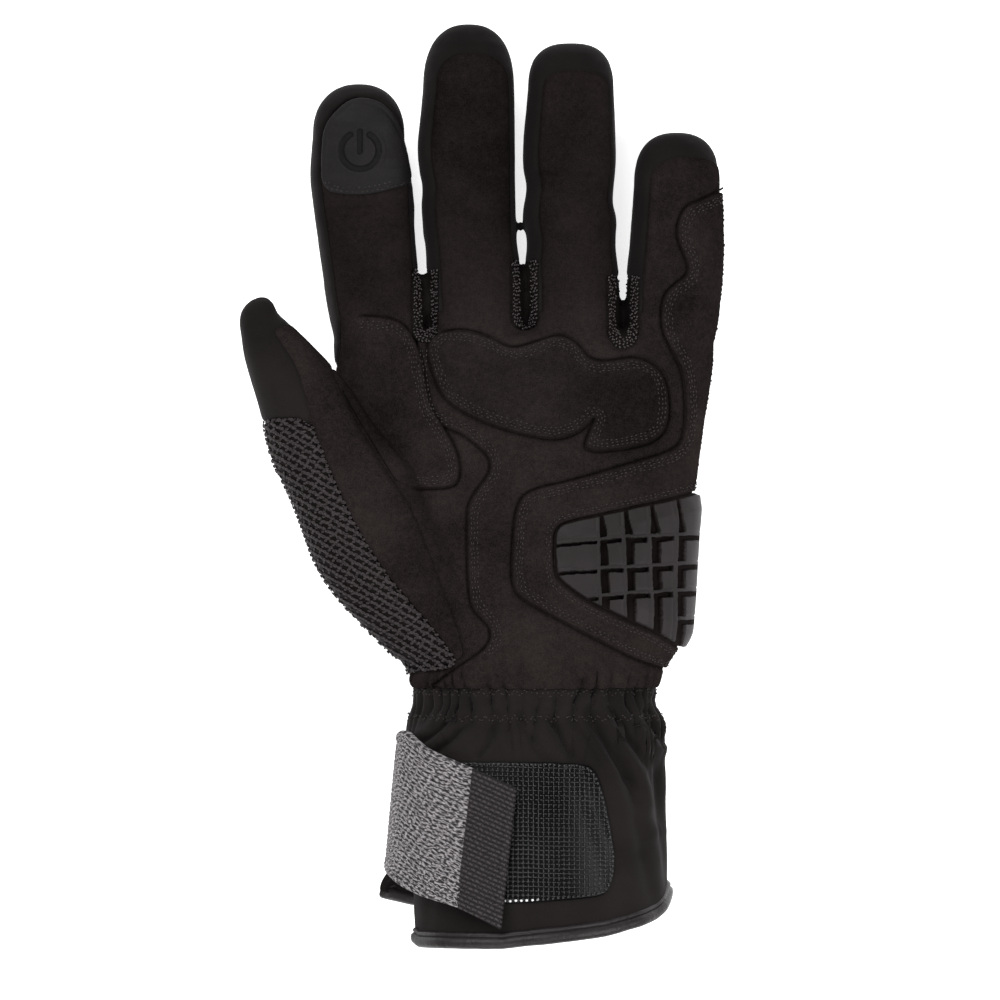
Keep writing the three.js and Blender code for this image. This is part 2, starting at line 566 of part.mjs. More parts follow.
const thumbSpace = thumb(SHELL_REACH);
cutPanel('thumb_back_panel',
  thumbSpace.intersect(prism(outline(THUMB_BACK))),
  thumbSpace.intersect(prism(outline(THUMB_BACK, GAP))), softshell);
for (const name of fingerNames) {
  const space = finger(name, SHELL_REACH);
  const above = (y) => prism(outline([[-BEYOND_ALL, y], [BEYOND_ALL, y], [BEYOND_ALL, BEYOND_ALL],
    [-BEYOND_ALL, BEYOND_ALL]]));
  cutPanel(`${name}_finger_back`, space.intersect(above(FINGER_BACK_SEAM)),
    space.intersect(above(FINGER_BACK_SEAM - GAP)), softshell);
}
add('back_panel', largest(wall), softshell);

// Pieces sewn on top of the palm: each is a layer of the grown hand inside its own outline.
const seat = whole(GAP);
const layer = (thick) => whole(GAP + thick).subtract(seat);
const sewn = layer(OVERLAY);

add('knuckle_pad', largest(layer(PAD).intersect(prism(outline(KNUCKLE_PAD), PATCH_BOTTOM))), suede);
add('thumb_crotch_patch',
  largest(sewn.intersect(prism(outline(THUMB_CROTCH_PATCH), PATCH_BOTTOM))), suede);
const heelWindow = prism(outline(PALM_SLIDER, WINDOW_CLEAR));
const heel = sewn.intersect(prism(outline(HEEL_PATCH), PATCH_BOTTOM)).subtract(heelWindow);
add('heel_patch', largest(heel), suede);
add('touch_patch', touchPatch(), leather);
add('palm_slider', palmSlider(), rubber);

function touchPatch() {
  const patch = largest(sewn.intersect(prism(outline(TOUCH_PATCH), PATCH_BOTTOM)));
  const { x, y, outer, inner, gapDeg, sides, bar, barTop, barBottom } = SIGN;
  const arc = (radius) => Array.from({ length: sides + 1 }, (_, k) => {
    const angle = rad(THREE.MathUtils.lerp(90 + gapDeg, 450 - gapDeg, k / sides));
    return new THREE.Vector2(x + Math.cos(angle) * radius, y + Math.sin(angle) * radius);
  });
  const ring = [...arc(outer), ...arc(inner).reverse()];
  const stroke = [[-bar / 2, barBottom], [bar / 2, barBottom], [bar / 2, barTop], [-bar / 2, barTop]]
    .map(([dx, dy]) => new THREE.Vector2(x + dx, y + dy));
  const sign = joined([prism(ring), prism(stroke)]);
  return largest(patch.subtract(sign.subtract(whole(GAP + OVERLAY - SIGN.depth))));
}

// A moulded plate with a grid of grooves that leaves tread blocks standing on it.
function palmSlider() {
  const moulding = layer(SLIDER_BASE + SLIDER_BLOCK).intersect(prism(outline(PALM_SLIDER), SLIDER_BOTTOM));
  const strip = (x0, y0, x1, y1) => {
    const side = new THREE.Vector2(y0 - y1, x1 - x0).setLength(GROOVE / 2);
    return prism([[x0 + side.x, y0 + side.y], [x1 + side.x, y1 + side.y], [x1 - side.x, y1 - side.y],
      [x0 - side.x, y0 - side.y]].map(([x, y]) => new THREE.Vector2(x, y)));
  };
  const grooves = joined([
    ...SLIDER_COLUMNS.map((c) => strip(c.topX, SLIDER_SPAN.top, c.bottomX, SLIDER_SPAN.bottom)),
    ...SLIDER_ROWS.map((r) => strip(SLIDER_SPAN.left, r.leftY, SLIDER_SPAN.right, r.rightY))]);
  return largest(moulding.subtract(grooves.subtract(whole(GAP + SLIDER_BASE))));
}

const fullTurn = (deg) => ((deg % 360) + 360) % 360;

function hemFall(deg) {
  const next = HEM_FALL.find((row) => row.deg > fullTurn(deg));
  const row = HEM_FALL[HEM_FALL.indexOf(next) - 1];
  return THREE.MathUtils.mapLinear(fullTurn(deg), row.deg, next.deg, row.fall, next.fall);
}

// A smooth ridge round an angle.
const ridge = (deg, at, spread) => Math.exp(-(((fullTurn(deg - at + 180) - 180) / spread) ** 2));

// A point of the cuff's outside at an angle, on a row of the table, grown outwards.
function cuffPoint(row, deg, grow, pleat, flareOut = FLARE.out) {
  const share = THREE.MathUtils.mapLinear(row.y, CUFF[0].y, CUFF.at(-1).y, 0, 1);
  const folds = CREASES.reduce((sum, c) => {
    const at = THREE.MathUtils.lerp(c.startDeg, c.endDeg, share);
    return sum + c.depth * ridge(deg, at, c.spreadDeg);
  }, 0);
  const flare = flareOut * ridge(deg, FLARE.deg, FLARE.spreadDeg)
    * THREE.MathUtils.smoothstep(-row.y, -FLARE.topY, -CUFF.at(-1).y);
  const out = grow + row.gather * pleat - row.crease * folds + flare;
  const t = rad(deg);
  const half = (row.right - row.left) / 2 + out;
  const height = (row.palm - row.back) / 2 + out;
  const squareness = Math.sin(t) > 0 ? CUFF_SQUARENESS.palm : CUFF_SQUARENESS.back;
  const x = (row.left + row.right) / 2 + half * power(Math.cos(t), 2 / squareness);
  const z = (row.back + row.palm) / 2 + height * power(Math.sin(t), 2 / squareness);
  const y = row.y - row.fall * hemFall(deg);
  return new THREE.Vector3(x, y, Math.max(z, row.floor - grow, 0));
}

const THROUGH = 4; // how far a cutting body runs past the cuff's two ends

function cuffBody(grow, extend) {
  const step = grow < 0 ? 2 : 1; // the lining has no pleats
  const rings = CUFF.map((row, i) => {
    const ring = [];
    for (let j = 0; j < 2 * PLEATS; j += step) {
      const at = (k) => cuffPoint(row, (k * 180) / PLEATS, grow, grow < 0 ? 0 : k % 2 ? 1 : -1);
      const straightened = j % 2 && i >= CUFF.length - 2; // the hem has a corner at every pleat only
      ring.push(straightened ? at(j - 1).lerp(at(j + 1), 0.5) : at(j));
    }
    return ring;
  }).reverse();
  if (extend) {
    rings.unshift(rings[0].map((p) => p.clone().setY(p.y - extend)));
    rings.push(rings.at(-1).map((p) => p.clone().setY(p.y + extend)));
  }
  return skin(rings, centreOf(rings[0]), centreOf(rings.at(-1)));
}

// The slit is a wedge of space from the cuff's middle out through its thumb side.
function slitWedge() {
  const last = CUFF.at(-1);
  const axis = new THREE.Vector3((last.left + last.right) / 2, 0, (last.back + last.palm) / 2);
  const ring = (y, spread) => [SLIT.fromDeg, SLIT.toDeg].map((deg) => {
    const out = cuffPoint(last, deg, 0, 0, 0).setY(0).sub(axis);
    return axis.clone().add(out.multiply(new THREE.Vector3(SLIT.reach, 0, SLIT.reach * spread)));
  }).concat([axis]).map((p) => p.clone().setY(y));
  const rings = [ring(SLIT.bottomY, 1), ring(SLIT.topY, SLIT.topWidth)];
  return skin(rings, centreOf(rings[0]), centreOf(rings[1]));
}

const cuff = cuffBody(0, 0).subtract(cuffBody(-CUFF_WALL, THROUGH)).subtract(slitWedge());
add('gauntlet_cuff', largest(cuff), softshell);

// The hook plate lies on the palm side of the cuff, under the strap's loose end.
const hookLayer = cuffBody(GAP + HOOK_PLATE, 0).subtract(cuffBody(GAP, THROUGH));
add('hook_patch', largest(hookLayer.intersect(prism(outline(HOOK_PATCH), HOOK_BOTTOM))), hookPlastic);

// A bar that follows the hem. Its profile is a run of [outwards, down] corners from the hem's edge.
function alongHem(pleats, profile) {
  const [last, above] = [CUFF.at(-1), CUFF.at(-2)];
  const rings = [];
  for (let pleat = -pleats; pleat <= pleats; pleat++) {
    const deg = (pleat * 360) / PLEATS;
    rings.push(profile.map(([out, down]) => {
      const p = cuffPoint(last, deg, out, 0);
      const upwards = cuffPoint(above, deg, out, 0).sub(p);
      return down > 0 ? p.setY(p.y - down) : p.addScaledVector(upwards, -down / upwards.y);
    }));
  }
  return skin(rings, centreOf(rings[0]), centreOf(rings.at(-1)));
}

// The binding: a folded strip of leather round the hem, from one flap of the slit to the other.
function hemBinding() {
  const { width, leather: thick, clear, clearBelow, seat: depth, pleats, round } = HEM_BINDING;
  const [outer, inner] = [clear + thick, CUFF_WALL + clear + thick];
  const tail = width - depth;
  const folded = alongHem(pleats, [[outer, -depth], [outer, tail * round],
    [-CUFF_WALL / 2, tail], [-inner, tail * round], [-inner, -depth]]);
  const inside = alongHem(pleats + 1, [[clear, -depth - 1], [clear, clearBelow],
    [-CUFF_WALL - clear, clearBelow], [-CUFF_WALL - clear, -depth - 1]]);
  return largest(folded.subtract(inside));
}
add('hem_binding', hemBinding(), leather);

// The strap is a band through its rows: a smooth run of edges, one face at its rows' distance from
// the cuff and the other one nearer by the strap's thickness.
function strapEdge(side, inward) {
  const points = STRAP_ROWS.map((row) => {
    const y = row[`${side}Y`];
    const lower = CUFF.find((r) => r.y <= y) ?? CUFF.at(-1);
    const upper = CUFF[CUFF.indexOf(lower) - 1];
    const share = Math.min(1, (upper.y - y) / (upper.y - lower.y));
    const mix = (key) => THREE.MathUtils.lerp(upper[key], lower[key], share);
    const plain = { y, left: mix('left'), right: mix('right'), back: mix('back'), palm: mix('palm'),
      fall: 0, gather: 0, crease: 0, floor: 0 };
    return cuffPoint(plain, row[`${side}Deg`], row[`${side}Out`] - inward, 0, 0);
  });
  return new THREE.CatmullRomCurve3(points).getPoints(STRAP_STEPS * (STRAP_ROWS.length - 1));
}

const strapFaces = [0, STRAP].map((inward) => [strapEdge('upper', inward), strapEdge('lower', inward)]);

function strapPiece(from, to, shift) {
  const rings = [];
  for (let k = from; k <= to; k++) {
    const [[outerUp, outerLow], [innerUp, innerLow]] = strapFaces;
    const ring = [outerUp[k], innerUp[k], innerLow[k], outerLow[k]];
    const ahead = strapFaces[0][0][k + 1]?.clone().sub(outerUp[k]).setLength(shift);
    rings.push(k === from && shift ? ring.map((p) => p.clone().add(ahead)) : ring);
  }
  return skin(rings, centreOf(rings[0]), centreOf(rings.at(-1)));
}

const tabFrom = TAB_FROM_ROW * STRAP_STEPS;
add('strap', strapPiece(0, tabFrom, 0), melange);
add('strap_tab', strapPiece(tabFrom, strapFaces[0][0].length - 1, GAP), ripstop);

export default glove;
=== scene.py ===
import math

import bpy
import numpy as np
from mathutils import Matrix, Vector, noise
from mathutils.kdtree import KDTree


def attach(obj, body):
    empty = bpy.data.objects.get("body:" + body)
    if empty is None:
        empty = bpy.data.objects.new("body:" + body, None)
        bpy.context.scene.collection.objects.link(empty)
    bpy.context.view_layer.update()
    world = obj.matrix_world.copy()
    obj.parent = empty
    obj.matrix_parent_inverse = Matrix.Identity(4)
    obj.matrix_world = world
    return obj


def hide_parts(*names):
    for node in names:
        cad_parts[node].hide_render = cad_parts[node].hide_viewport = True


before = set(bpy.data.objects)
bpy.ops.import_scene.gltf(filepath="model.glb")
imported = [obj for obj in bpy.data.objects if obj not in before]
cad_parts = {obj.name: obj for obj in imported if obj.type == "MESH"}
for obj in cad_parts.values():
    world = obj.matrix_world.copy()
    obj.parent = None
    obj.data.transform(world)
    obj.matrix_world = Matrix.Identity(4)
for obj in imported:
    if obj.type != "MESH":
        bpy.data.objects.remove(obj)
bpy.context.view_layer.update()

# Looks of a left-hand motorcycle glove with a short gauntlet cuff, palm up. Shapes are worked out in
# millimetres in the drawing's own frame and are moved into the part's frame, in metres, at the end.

MM = 0.001
MIDDLE_X = 0.05  # the drawing's zero lies this far from the part's
WALL = 2.0
CUFF_WALL = 1.8
VOXEL = 1.08
KEPT_BELOW = 0.75
SMOOTHING = 6
TINY = 1e-7


# Tables

def table(columns, *rows):
    """A small table: each named column is an array."""
    values = np.array(rows, float)
    return {name: values[:, i] for i, name in enumerate(columns.split())}


def mix(a, b, share):
    return a * (1 - share) + b * share


def smoothstep(low, high, value):
    t = np.clip((value - low) / (high - low), 0, 1)
    return t * t * (3 - 2 * t)


def through(values, at):
    """Points of a smooth curve through the given rows, where at counts in rows."""
    values = np.asarray(values, float)
    ends = np.concatenate([[2 * values[0] - values[1]], values, [2 * values[-1] - values[-2]]])
    i = np.clip(np.floor(at).astype(int), 0, len(values) - 2)
    t = at - i
    if values.ndim > 1:
        t = t[:, None]
    a, b, c, d = (ends[i + k] for k in range(4))
    return 0.5 * (2 * b + (c - a) * t + (2 * a - 5 * b + 4 * c - d) * t ** 2
                  + (3 * b - a - 3 * c + d) * t ** 3)


def finer(rows, steps):
    """The same table with more rows, on smooth curves."""
    count = len(next(iter(rows.values())))
    at = np.linspace(0, count - 1, steps)
    return {name: through(column, at) for name, column in rows.items()}


HAND = table(
    "y left right back palm hollow",
    (46.5, -42.5, 66.3, 3.5, 25.5, 0), (43.5, -45.0, 68.4, 0.5, 29.5, 0),
    (33.3, -44.1, 68.0, -1.5, 33.0, 1.5), (18.9, -41.1, 65.5, -1.5, 36.0, 3.5),
    (3.0, -38.6, 63.4, -1.5, 38.5, 4.5), (-16.5, -38.2, 61.6, -1.5, 40.8, 4.3),
    (-34.5, -36.0, 60.5, -1.5, 43.0, 3.0), (-45.5, -31.5, 59.4, -1.5, 44.2, 1.5),
    (-50.5, -26.6, 56.8, -1.5, 44.4, 0.9), (-55.0, -22.6, 53.8, -1.5, 44.5, 0.5),
    (-61.5, -21.4, 51.6, -1.5, 44.5, 0), (-66.0, -20.8, 51.0, -1.5, 44.5, 0),
)
FINGERS = {
    "index": dict(tip=(120.4, 21.0), roundness=2.2, rows=table(
        "y left right back palm",
        (38.0, -43.2, -17.2, 4.5, 26.0), (49.5, -46.1, -16.3, 1.8, 29.0),
        (58.5, -47.7, -17.1, 1.2, 28.0), (62.0, -48.0, -18.5, 1.0, 27.4), (66.0, -48.6, -19.7, 1.0, 27.0),
        (76.0, -50.0, -20.5, 1.6, 27.2), (85.5, -51.3, -21.0, 3.0, 28.2),
        (93.5, -52.0, -21.6, 4.4, 29.3), (105.3, -51.1, -23.5, 7.4, 30.8))),
    "middle": dict(tip=(138.2, 24.5), roundness=2.4, rows=table(
        "y left right back palm",
        (38.0, -14.4, 11.4, 4.5, 27.0), (49.5, -15.9, 12.7, 1.8, 30.0),
        (59.0, -16.7, 12.3, 1.1, 29.0), (66.5, -17.0, 11.1, 1.0, 28.0),
        (72.0, -17.4, 10.2, 1.2, 27.8), (79.0, -18.2, 9.9, 1.9, 28.0),
        (84.5, -18.5, 9.8, 2.5, 28.3), (89.5, -18.2, 9.7, 3.4, 29.0),
        (100.5, -19.7, 9.6, 5.6, 30.6), (118.5, -18.0, 9.4, 10.6, 33.6))),
    "ring": dict(tip=(132.5, 23.6), roundness=2.7, rows=table(
        "y left right back palm",
        (38.0, 14.6, 40.0, 4.5, 26.5), (49.5, 13.2, 41.4, 1.8, 29.6),
        (60.0, 13.1, 40.9, 1.0, 28.4), (66.5, 12.7, 40.4, 1.1, 27.9),
        (72.6, 13.2, 39.9, 1.4, 27.6), (80.0, 12.2, 40.2, 2.4, 28.0),
        (84.6, 12.5, 39.1, 3.0, 28.2), (90.0, 13.0, 39.4, 4.2, 28.8),
        (98.5, 11.9, 40.0, 5.9, 30.2), (117.9, 13.4, 39.3, 10.6, 33.0))),
    "little": dict(tip=(105.8, 20.5), roundness=2.5, rows=table(
        "y left right back palm",
        (38.0, 44.0, 66.8, 4.5, 24.5), (47.0, 42.8, 69.5, 2.4, 28.0),
        (55.5, 43.0, 70.6, 1.5, 27.0), (64.0, 43.2, 71.3, 1.8, 26.6),
        (73.0, 44.1, 71.6, 2.5, 26.4), (89.7, 45.2, 71.2, 6.2, 28.6))),
}
THUMB = dict(tip=(-68.6, 55.7, 30.5), roundness=2.3, rows=table(
    "left_x left_y right_x right_y back palm",
    (-26.0, -52.5, 4.5, -38.5, 8.0, 37.0), (-42.4, -35.5, -4.6, -18.2, 6.0, 43.0),
    (-50.0, -24.3, -13.0, -7.4, 6.5, 45.0), (-54.1, -13.5, -19.8, 1.9, 8.5, 45.8),
    (-58.3, -2.7, -27.2, 11.3, 11.0, 45.4), (-63.3, 7.5, -34.4, 20.3, 13.5, 44.2),
    (-66.9, 22.5, -43.2, 33.4, 17.8, 41.8), (-71.1, 36.9, -54.2, 45.0, 21.0, 39.4),
    (-72.6, 46.0, -61.6, 51.4, 23.8, 36.8)))
HAND_SQUARENESS = dict(palm=2.3, back=2.7)
CUFF_SQUARENESS = dict(palm=2.2, back=2.7)
WRIST = dict(left=-21.5, right=52.0, back=-1.5, palm=44.5)  # the skin's bounds where it is gathered
SKIN_END = -65.5  # y where the lofted skin is cut off, inside the cuff
SEAM_Y = -60.6  # y of the seam between skin and cuff
CUFF_MIDDLE = (16, -95, 25)  # a point inside the cuff
ELASTIC_ROWS = (-62.0, -69.6)  # y of the two zigzag rows
ELASTIC_HEIGHT = 22  # z of the middle of a zigzag row
WEB_ROW = 1.39  # between the rows of the webbing and of the tab's weave
WEB_STEP = dict(long=2.8, shift=0.29)  # of the webbing's dashes, and how far a row is behind the last
WEAVE_STEP = dict(long=1.83, shift=0.5)

# Cuff sections: fall is the share of the hem's slant, gather and crease the depth of the pleats and
# long folds, floor the lowest height.
CUFF = table(
    "y left right back palm fall gather crease floor",
    (-57.5, -20.4, 50.8, 0.6, 42.8, 0, 0.3, 0, 1.2), (-61.8, -20.6, 51.4, -1.5, 43.9, 0, 0.8, 0, 0),
    (-66.0, -20.6, 51.0, -1.5, 44.8, 0, 1.0, 0, 0), (-70.5, -22.4, 53.2, -1.5, 45.0, 0, 0.8, 0.2, 0),
    (-75.5, -23.2, 54.2, -1.5, 47.4, 0, 0.5, 0.7, 0), (-83.0, -22.4, 54.6, -1.5, 50.0, 0.1, 0.1, 1, 0),
    (-95.0, -21.6, 54.9, -1.5, 52.2, 0.35, 0, 0.9, 0), (-108.0, -21.4, 55.2, -1.3, 53.5, 0.7, 0, 0.5, 0.8),
    (-121.5, -21.6, 55.6, -1.0, 54.5, 1, 0, 0.2, 1.4),
)
PLEATS = 44
CREASES = table(
    "start_deg end_deg depth spread_deg",
    (28, 8, 2.2, 7), (55, 30, 2.0, 6), (84, 50, 1.3, 6), (128, 150, 1.0, 6), (320, 335, 0.8, 7),
    (215, 230, 1.2, 8), (258, 266, 0.9, 9), (292, 300, 1.0, 8))
HEM_FALL = table(
    "deg fall",
    (0, 0.3), (28, 6.4), (62, 10.9), (105, 14.5), (157, 14.7), (172, 12.0), (186, 0.2), (195, 1.2),
    (204, 3.0), (228, 5.0), (270, 2.0), (315, -1.0), (360, 0.3))
SLIT = dict(deg=180, half_deg=10, top_y=-98)
FLARE = dict(deg=190, spread_deg=13, out=10.5, top_y=-104, bottom_y=-121.5)

# Outlines in plan
KNUCKLE_PAD = [
    (-17.4, 42.0), (-12.9, 45.3), (-6.3, 46.5), (2.1, 44.1), (8.1, 40.5), (14.1, 42.0), (22.5, 45.0),
    (27.6, 42.9), (32.1, 36.9), (38.7, 36.9), (45.6, 38.4), (52.5, 35.1), (55.5, 28.5), (55.5, 18.0),
    (51.6, 13.2), (42.6, 10.8), (30.0, 9.9), (31.5, 15.0), (34.8, 22.4), (30.6, 17.1), (23.1, 13.5),
    (14.1, 14.7), (2.1, 18.0), (-8.4, 23.1), (-13.5, 28.5)]
CROTCH_PATCH = [
    (-41.4, 50.1), (-32.4, 50.4), (-24.3, 48.9), (-19.5, 42.0), (-17.4, 31.5), (-15.9, 23.1),
    (-11.4, 16.5), (-7.5, 9.0), (-6.9, 2.1), (-9.9, -0.9), (-24.6, -0.7), (-29.2, 6.6), (-33.4, 13.6),
    (-38.6, 22.3), (-43.2, 30.6)]
HEEL_PATCH = [
    (82.0, 88.8), (71.7, 88.5), (65.1, 84.9), (60.9, 83.7), (58.5, 78.9), (58.2, 73.5), (61.5, 66.9),
    (61.5, 62.7), (56.1, 59.1), (53.7, 55.5), (53.4, 46.5), (56.7, 40.5), (60.3, 33.9), (61.2, 22.5),
    (60.3, 13.5), (56.7, 9.9), (44.1, 6.3), (26.1, 0.9), (14.1, -1.5), (9.9, -6.0), (8.7, -22.5),
    (9.0, -31.5), (14.1, -35.4), (35.1, -46.5), (47.1, -52.5), (59.1, -56.1), (82.0, -56.1)]
SLIDER = [
    (21.4, -18.3), (21.9, -13.5), (24.3, -11.5), (41.7, -7.7), (57.0, -4.3), (64.2, -1.8), (76.0, -1.6),
    (76.0, -36.0), (64.2, -47.6), (59.1, -48.9), (50.9, -44.1), (35.6, -37.2), (28.7, -33.3),
    (22.9, -28.8), (21.6, -26.6)]
TOUCH_PATCH = [
    (-48.3, 88.4), (-48.2, 100.5), (-47.6, 106.8), (-45.3, 110.4), (-41.7, 114.2), (-37.5, 116.0),
    (-32.8, 115.4), (-29.0, 113.4), (-26.0, 109.5), (-23.9, 103.2), (-22.5, 96.6), (-21.6, 90.6),
    (-25.5, 89.0), (-33.0, 87.0), (-40.0, 86.7)]
CROTCH_FOLD = [(-41.4, 50.1), (-43.2, 30.6), (-38.6, 22.3), (-33.4, 13.6), (-29.2, 6.6), (-24.6, -0.7)]
THUMB_KNIT = [
    (-51.6, 20.1), (-66.0, 19.6), (-82.0, 14.0), (-76.0, -12.0), (-56.0, -46.0), (-33.0, -62.0),
    (-20.4, -55.6), (-13.6, -55.6), (-8.2, -53.8), (-7.8, -52.4), (-13.4, -44.4), (-21.6, -34.9),
    (-29.0, -26.2), (-36.3, -15.0), (-42.9, -1.5), (-48.3, 11.1)]
THUMB_PALM = [
    (-51.0, 19.8), (-52.8, 26.4), (-55.5, 35.7), (-59.4, 41.5), (-62.6, 46.2), (-60.0, 47.5),
    (-52.0, 50.0), (-46.5, 38.0), (-43.4, 30.6), (-33.6, 13.6), (-25.0, -0.4), (-20.0, -9.0), (-12.5, -30.0),
    (-5.6, -49.0), (-7.6, -53.0), (-16.0, -50.0), (-40.0, -25.0), (-60.0, 0.0)]
PALM = [
    (-43.2, 52.0), (-43.2, 45.0), (-43.6, 38.0), (-45.5, 33.5), (-48.0, 30.0), (-50.0, 15.0),
    (-62.0, -20.0), (-44.0, -66.0), (90.0, -66.0), (90.0, 52.0)]
# The second layer of the palm lies right of this line.
PALM_LAYER = [
    (-19.6, 44.0), (-20.2, 36.9), (-19.5, 27.9), (-17.2, 20.4), (-13.8, 17.8), (-7.2, 16.0), (-1.2, 11.5),
    (2.2, 7.8), (2.2, 4.0), (-0.4, 0.3), (-3.8, -4.2), (-4.8, -8.7), (-4.6, -26.6), (-3.8, -36.3),
    (-0.4, -39.9), (2.6, -43.2), (1.8, -47.4), (-1.2, -50.4), (-6.0, -53.4), (-20.0, -64.0), (96.0, -64.0),
    (96.0, 150.0), (-20.0, 150.0), (-19.9, 66.0)]
HOOK_PATCH = [
    (-15.0, -82.4), (5.1, -82.4), (30.0, -82.6), (34.0, -85.2), (36.6, -94.5), (38.9, -106.5),
    (39.2, -115.0), (37.2, -121.2), (33.5, -122.6), (20.1, -123.7), (5.1, -124.6), (-15.0, -124.6)]
FINGER_SEAM = dict(index=(3.0, 0.9, 22.0), middle=(3.9, 1.2, 9.0), ring=(4.2, 1.2, 8.6),
                   little=(4.5, -3.0, 7.6))  # left, right and tip insets
GUSSETS = dict(index_middle=(-20.9, -13.6, 42.4, 64.4), middle_ring=(8.8, 16.4, 46.6, 67.0),
               ring_little=(37.6, 46.6, 40.8, 62.6))  # left, right, bottom, top
GUSSET_LOW = 7.0
KNIT_WRAP = 5.0
PALM_WRAP = 1.0
PATCH_LOW = 14.0
SLIDER_LOW = 16.0

# Soft creases of the palm side, in plan: each runs through three points.
FOLDS = table(
    "x0 y0 x1 y1 x2 y2 depth width",
    (-46, 80.5, -34, 82.6, -21, 83.0, 0.55, 1.9), (-45, 75.0, -33, 76.0, -21, 76.5, 0.35, 1.6),
    (-15, 92.0, -4, 93.4, 9, 93.0, 0.55, 2.2), (-14, 86.6, -3, 87.6, 9, 87.0, 0.4, 1.6),
    (-14, 79.6, -3, 80.0, 9, 80.6, 0.4, 1.8), (12, 91.2, 25, 92.0, 39, 90.0, 0.8, 2.4),
    (13, 79.0, 26, 79.8, 39, 82.0, 0.45, 1.9), (45, 74.0, 54, 72.0, 60, 71.0, 0.45, 1.9),
    (-41, 27.2, -35.0, 17.0, -24.2, -1.5, 1.7, 2.0), (-30, -16, -22, -22, -14, -24, 0.6, 2.6),
    (8, -47, 11, -53, 15, -60, 0.7, 2.0), (-8, -50, -6, -56, -6, -62, 0.5, 1.8),
    (25, -52, 28, -56, 32, -62, 0.6, 1.8), (40, -55, 43, -58, 45, -62, 0.5, 1.6),
    (31.0, -69.0, 40.6, -83.0, 46.2, -93.0, 2.3, 2.5), (19.0, -68.0, 23.0, -75.0, 27.4, -82.4, 1.3, 1.7),
    (48.0, -68.5, 51.0, -72.4, 53.5, -76.3, 1.8, 1.9), (-5.0, -70.5, -10.6, -76.6, -16.8, -81.5, 1.5, 1.8),
    (-9.5, -70.0, -14.0, -74.0, -19.0, -77.6, 1.3, 1.6), (41, -73, 49, -85, 53, -99, 1.1, 2.8),
    (4, -69, 1.5, -76, -3, -82, 0.9, 1.7), (11, -69, 15, -76, 20, -84, 0.9, 1.8),
    (26, -69, 32, -77, 37, -86, 0.9, 1.7), (38, -69, 43, -75, 48, -82, 0.9, 1.8),
    (30, -106, 42, -110, 52, -108, 0.5, 3.0), (-18, -104, -8, -110, 2, -108, 0.5, 3.0),
)


# Shapes in plan

def rounded(corners, rounds=3):
    """An outline with its corners cut off a few times, so that it runs smoothly."""
    points = np.array(corners, float)
    for _ in range(rounds):
        following = np.roll(points, -1, 0)
        points = np.stack([mix(points, following, 0.25), mix(points, following, 0.75)], 1).reshape(-1, 2)
    return points


def to_line(points, ends):
    """Distance in plan to a run of line pieces."""
    x, y = points[:, 0], points[:, 1]
    nearest = np.full(len(points), 1e9)
    for (ax, ay), (bx, by) in zip(ends[:-1], ends[1:]):
        ex, ey = bx - ax, by - ay
        share = np.clip(((x - ax) * ex + (y - ay) * ey) / (ex * ex + ey * ey + TINY), 0, 1)
        nearest = np.minimum(nearest, (x - ax - share * ex) ** 2 + (y - ay - share * ey) ** 2)
    return np.sqrt(nearest)


def inside(points, outline):
    """Distance in plan to a closed outline, positive inside it."""
    x, y = points[:, 0], points[:, 1]
    ends = np.concatenate([outline, outline[:1]])
    within = np.zeros(len(points), bool)
    for (ax, ay), (bx, by) in zip(ends[:-1], ends[1:]):
        if abs(by - ay) > TINY:
            within ^= ((ay > y) != (by > y)) & (x < (bx - ax) * (y - ay) / (by - ay) + ax)
    distance = to_line(points, ends)
    return np.where(within, distance, -distance)


def power(value, exponent):
    return np.sign(value) * np.abs(value) ** exponent


# Lofts

def sections(rows, sides, squareness, floor=0.0):
    """Rings round the rows: a rounded oblong between the two ends of each row's chord."""
    t = np.arange(sides) / sides * 2 * math.pi
    palm_side = np.sin(t) > 0
    exponent = np.where(palm_side, 2 / squareness["palm"], 2 / squareness["back"])
    u = power(np.cos(t), exponent)[None, :, None]
    w = power(np.sin(t), exponent)[None, :]
    left = np.stack([rows["left_x"], rows["left_y"]], 1)[:, None]
    right = np.stack([rows["right_x"], rows["right_y"]], 1)[:, None]
    plan = (left + right) / 2 + u * (right - left) / 2
    middle = ((rows["back"] + rows["palm"]) / 2)[:, None]
    height = ((rows["palm"] - rows["back"]) / 2)[:, None]
    z = middle + height * w
    if "hollow" in rows:
        z = z - np.where(palm_side, rows["hollow"][:, None] * (1 - u[:, :, 0] ** 2) ** 2, 0)
    return np.concatenate([plan, np.maximum(z, floor)[:, :, None]], 2)


def straight(rows):
    """Rows that lie straight across, as rows with two chord ends."""
    return dict(rows, left_x=rows["left"], right_x=rows["right"], left_y=rows["y"], right_y=rows["y"])


def with_dome(rings, tip, roundness, steps=16):
    """Adds the rounded tip of a digit to its rings."""
    last = rings[-1]
    centre = last.mean(0)
    reach = np.array(tip) - centre
    angles = np.linspace(0, math.pi / 2, steps + 1)[1:-1]
    power_of = 2 / roundness
    domes = [(last - centre) * math.cos(a) ** power_of + centre + reach * math.sin(a) ** power_of
             for a in angles]
    return np.concatenate([rings, np.array(domes)])


def ring_faces(count, sides):
    """Quads between rings, and the two ends as polygons."""
    j = np.arange(sides)
    k = (j + 1) % sides
    faces = []
    for i in range(count - 1):
        a, b = i * sides + j, i * sides + k
        faces += np.stack([a, b, b + sides, a + sides], 1).tolist()
    return faces + [j[::-1].tolist(), ((count - 1) * sides + j).tolist()]


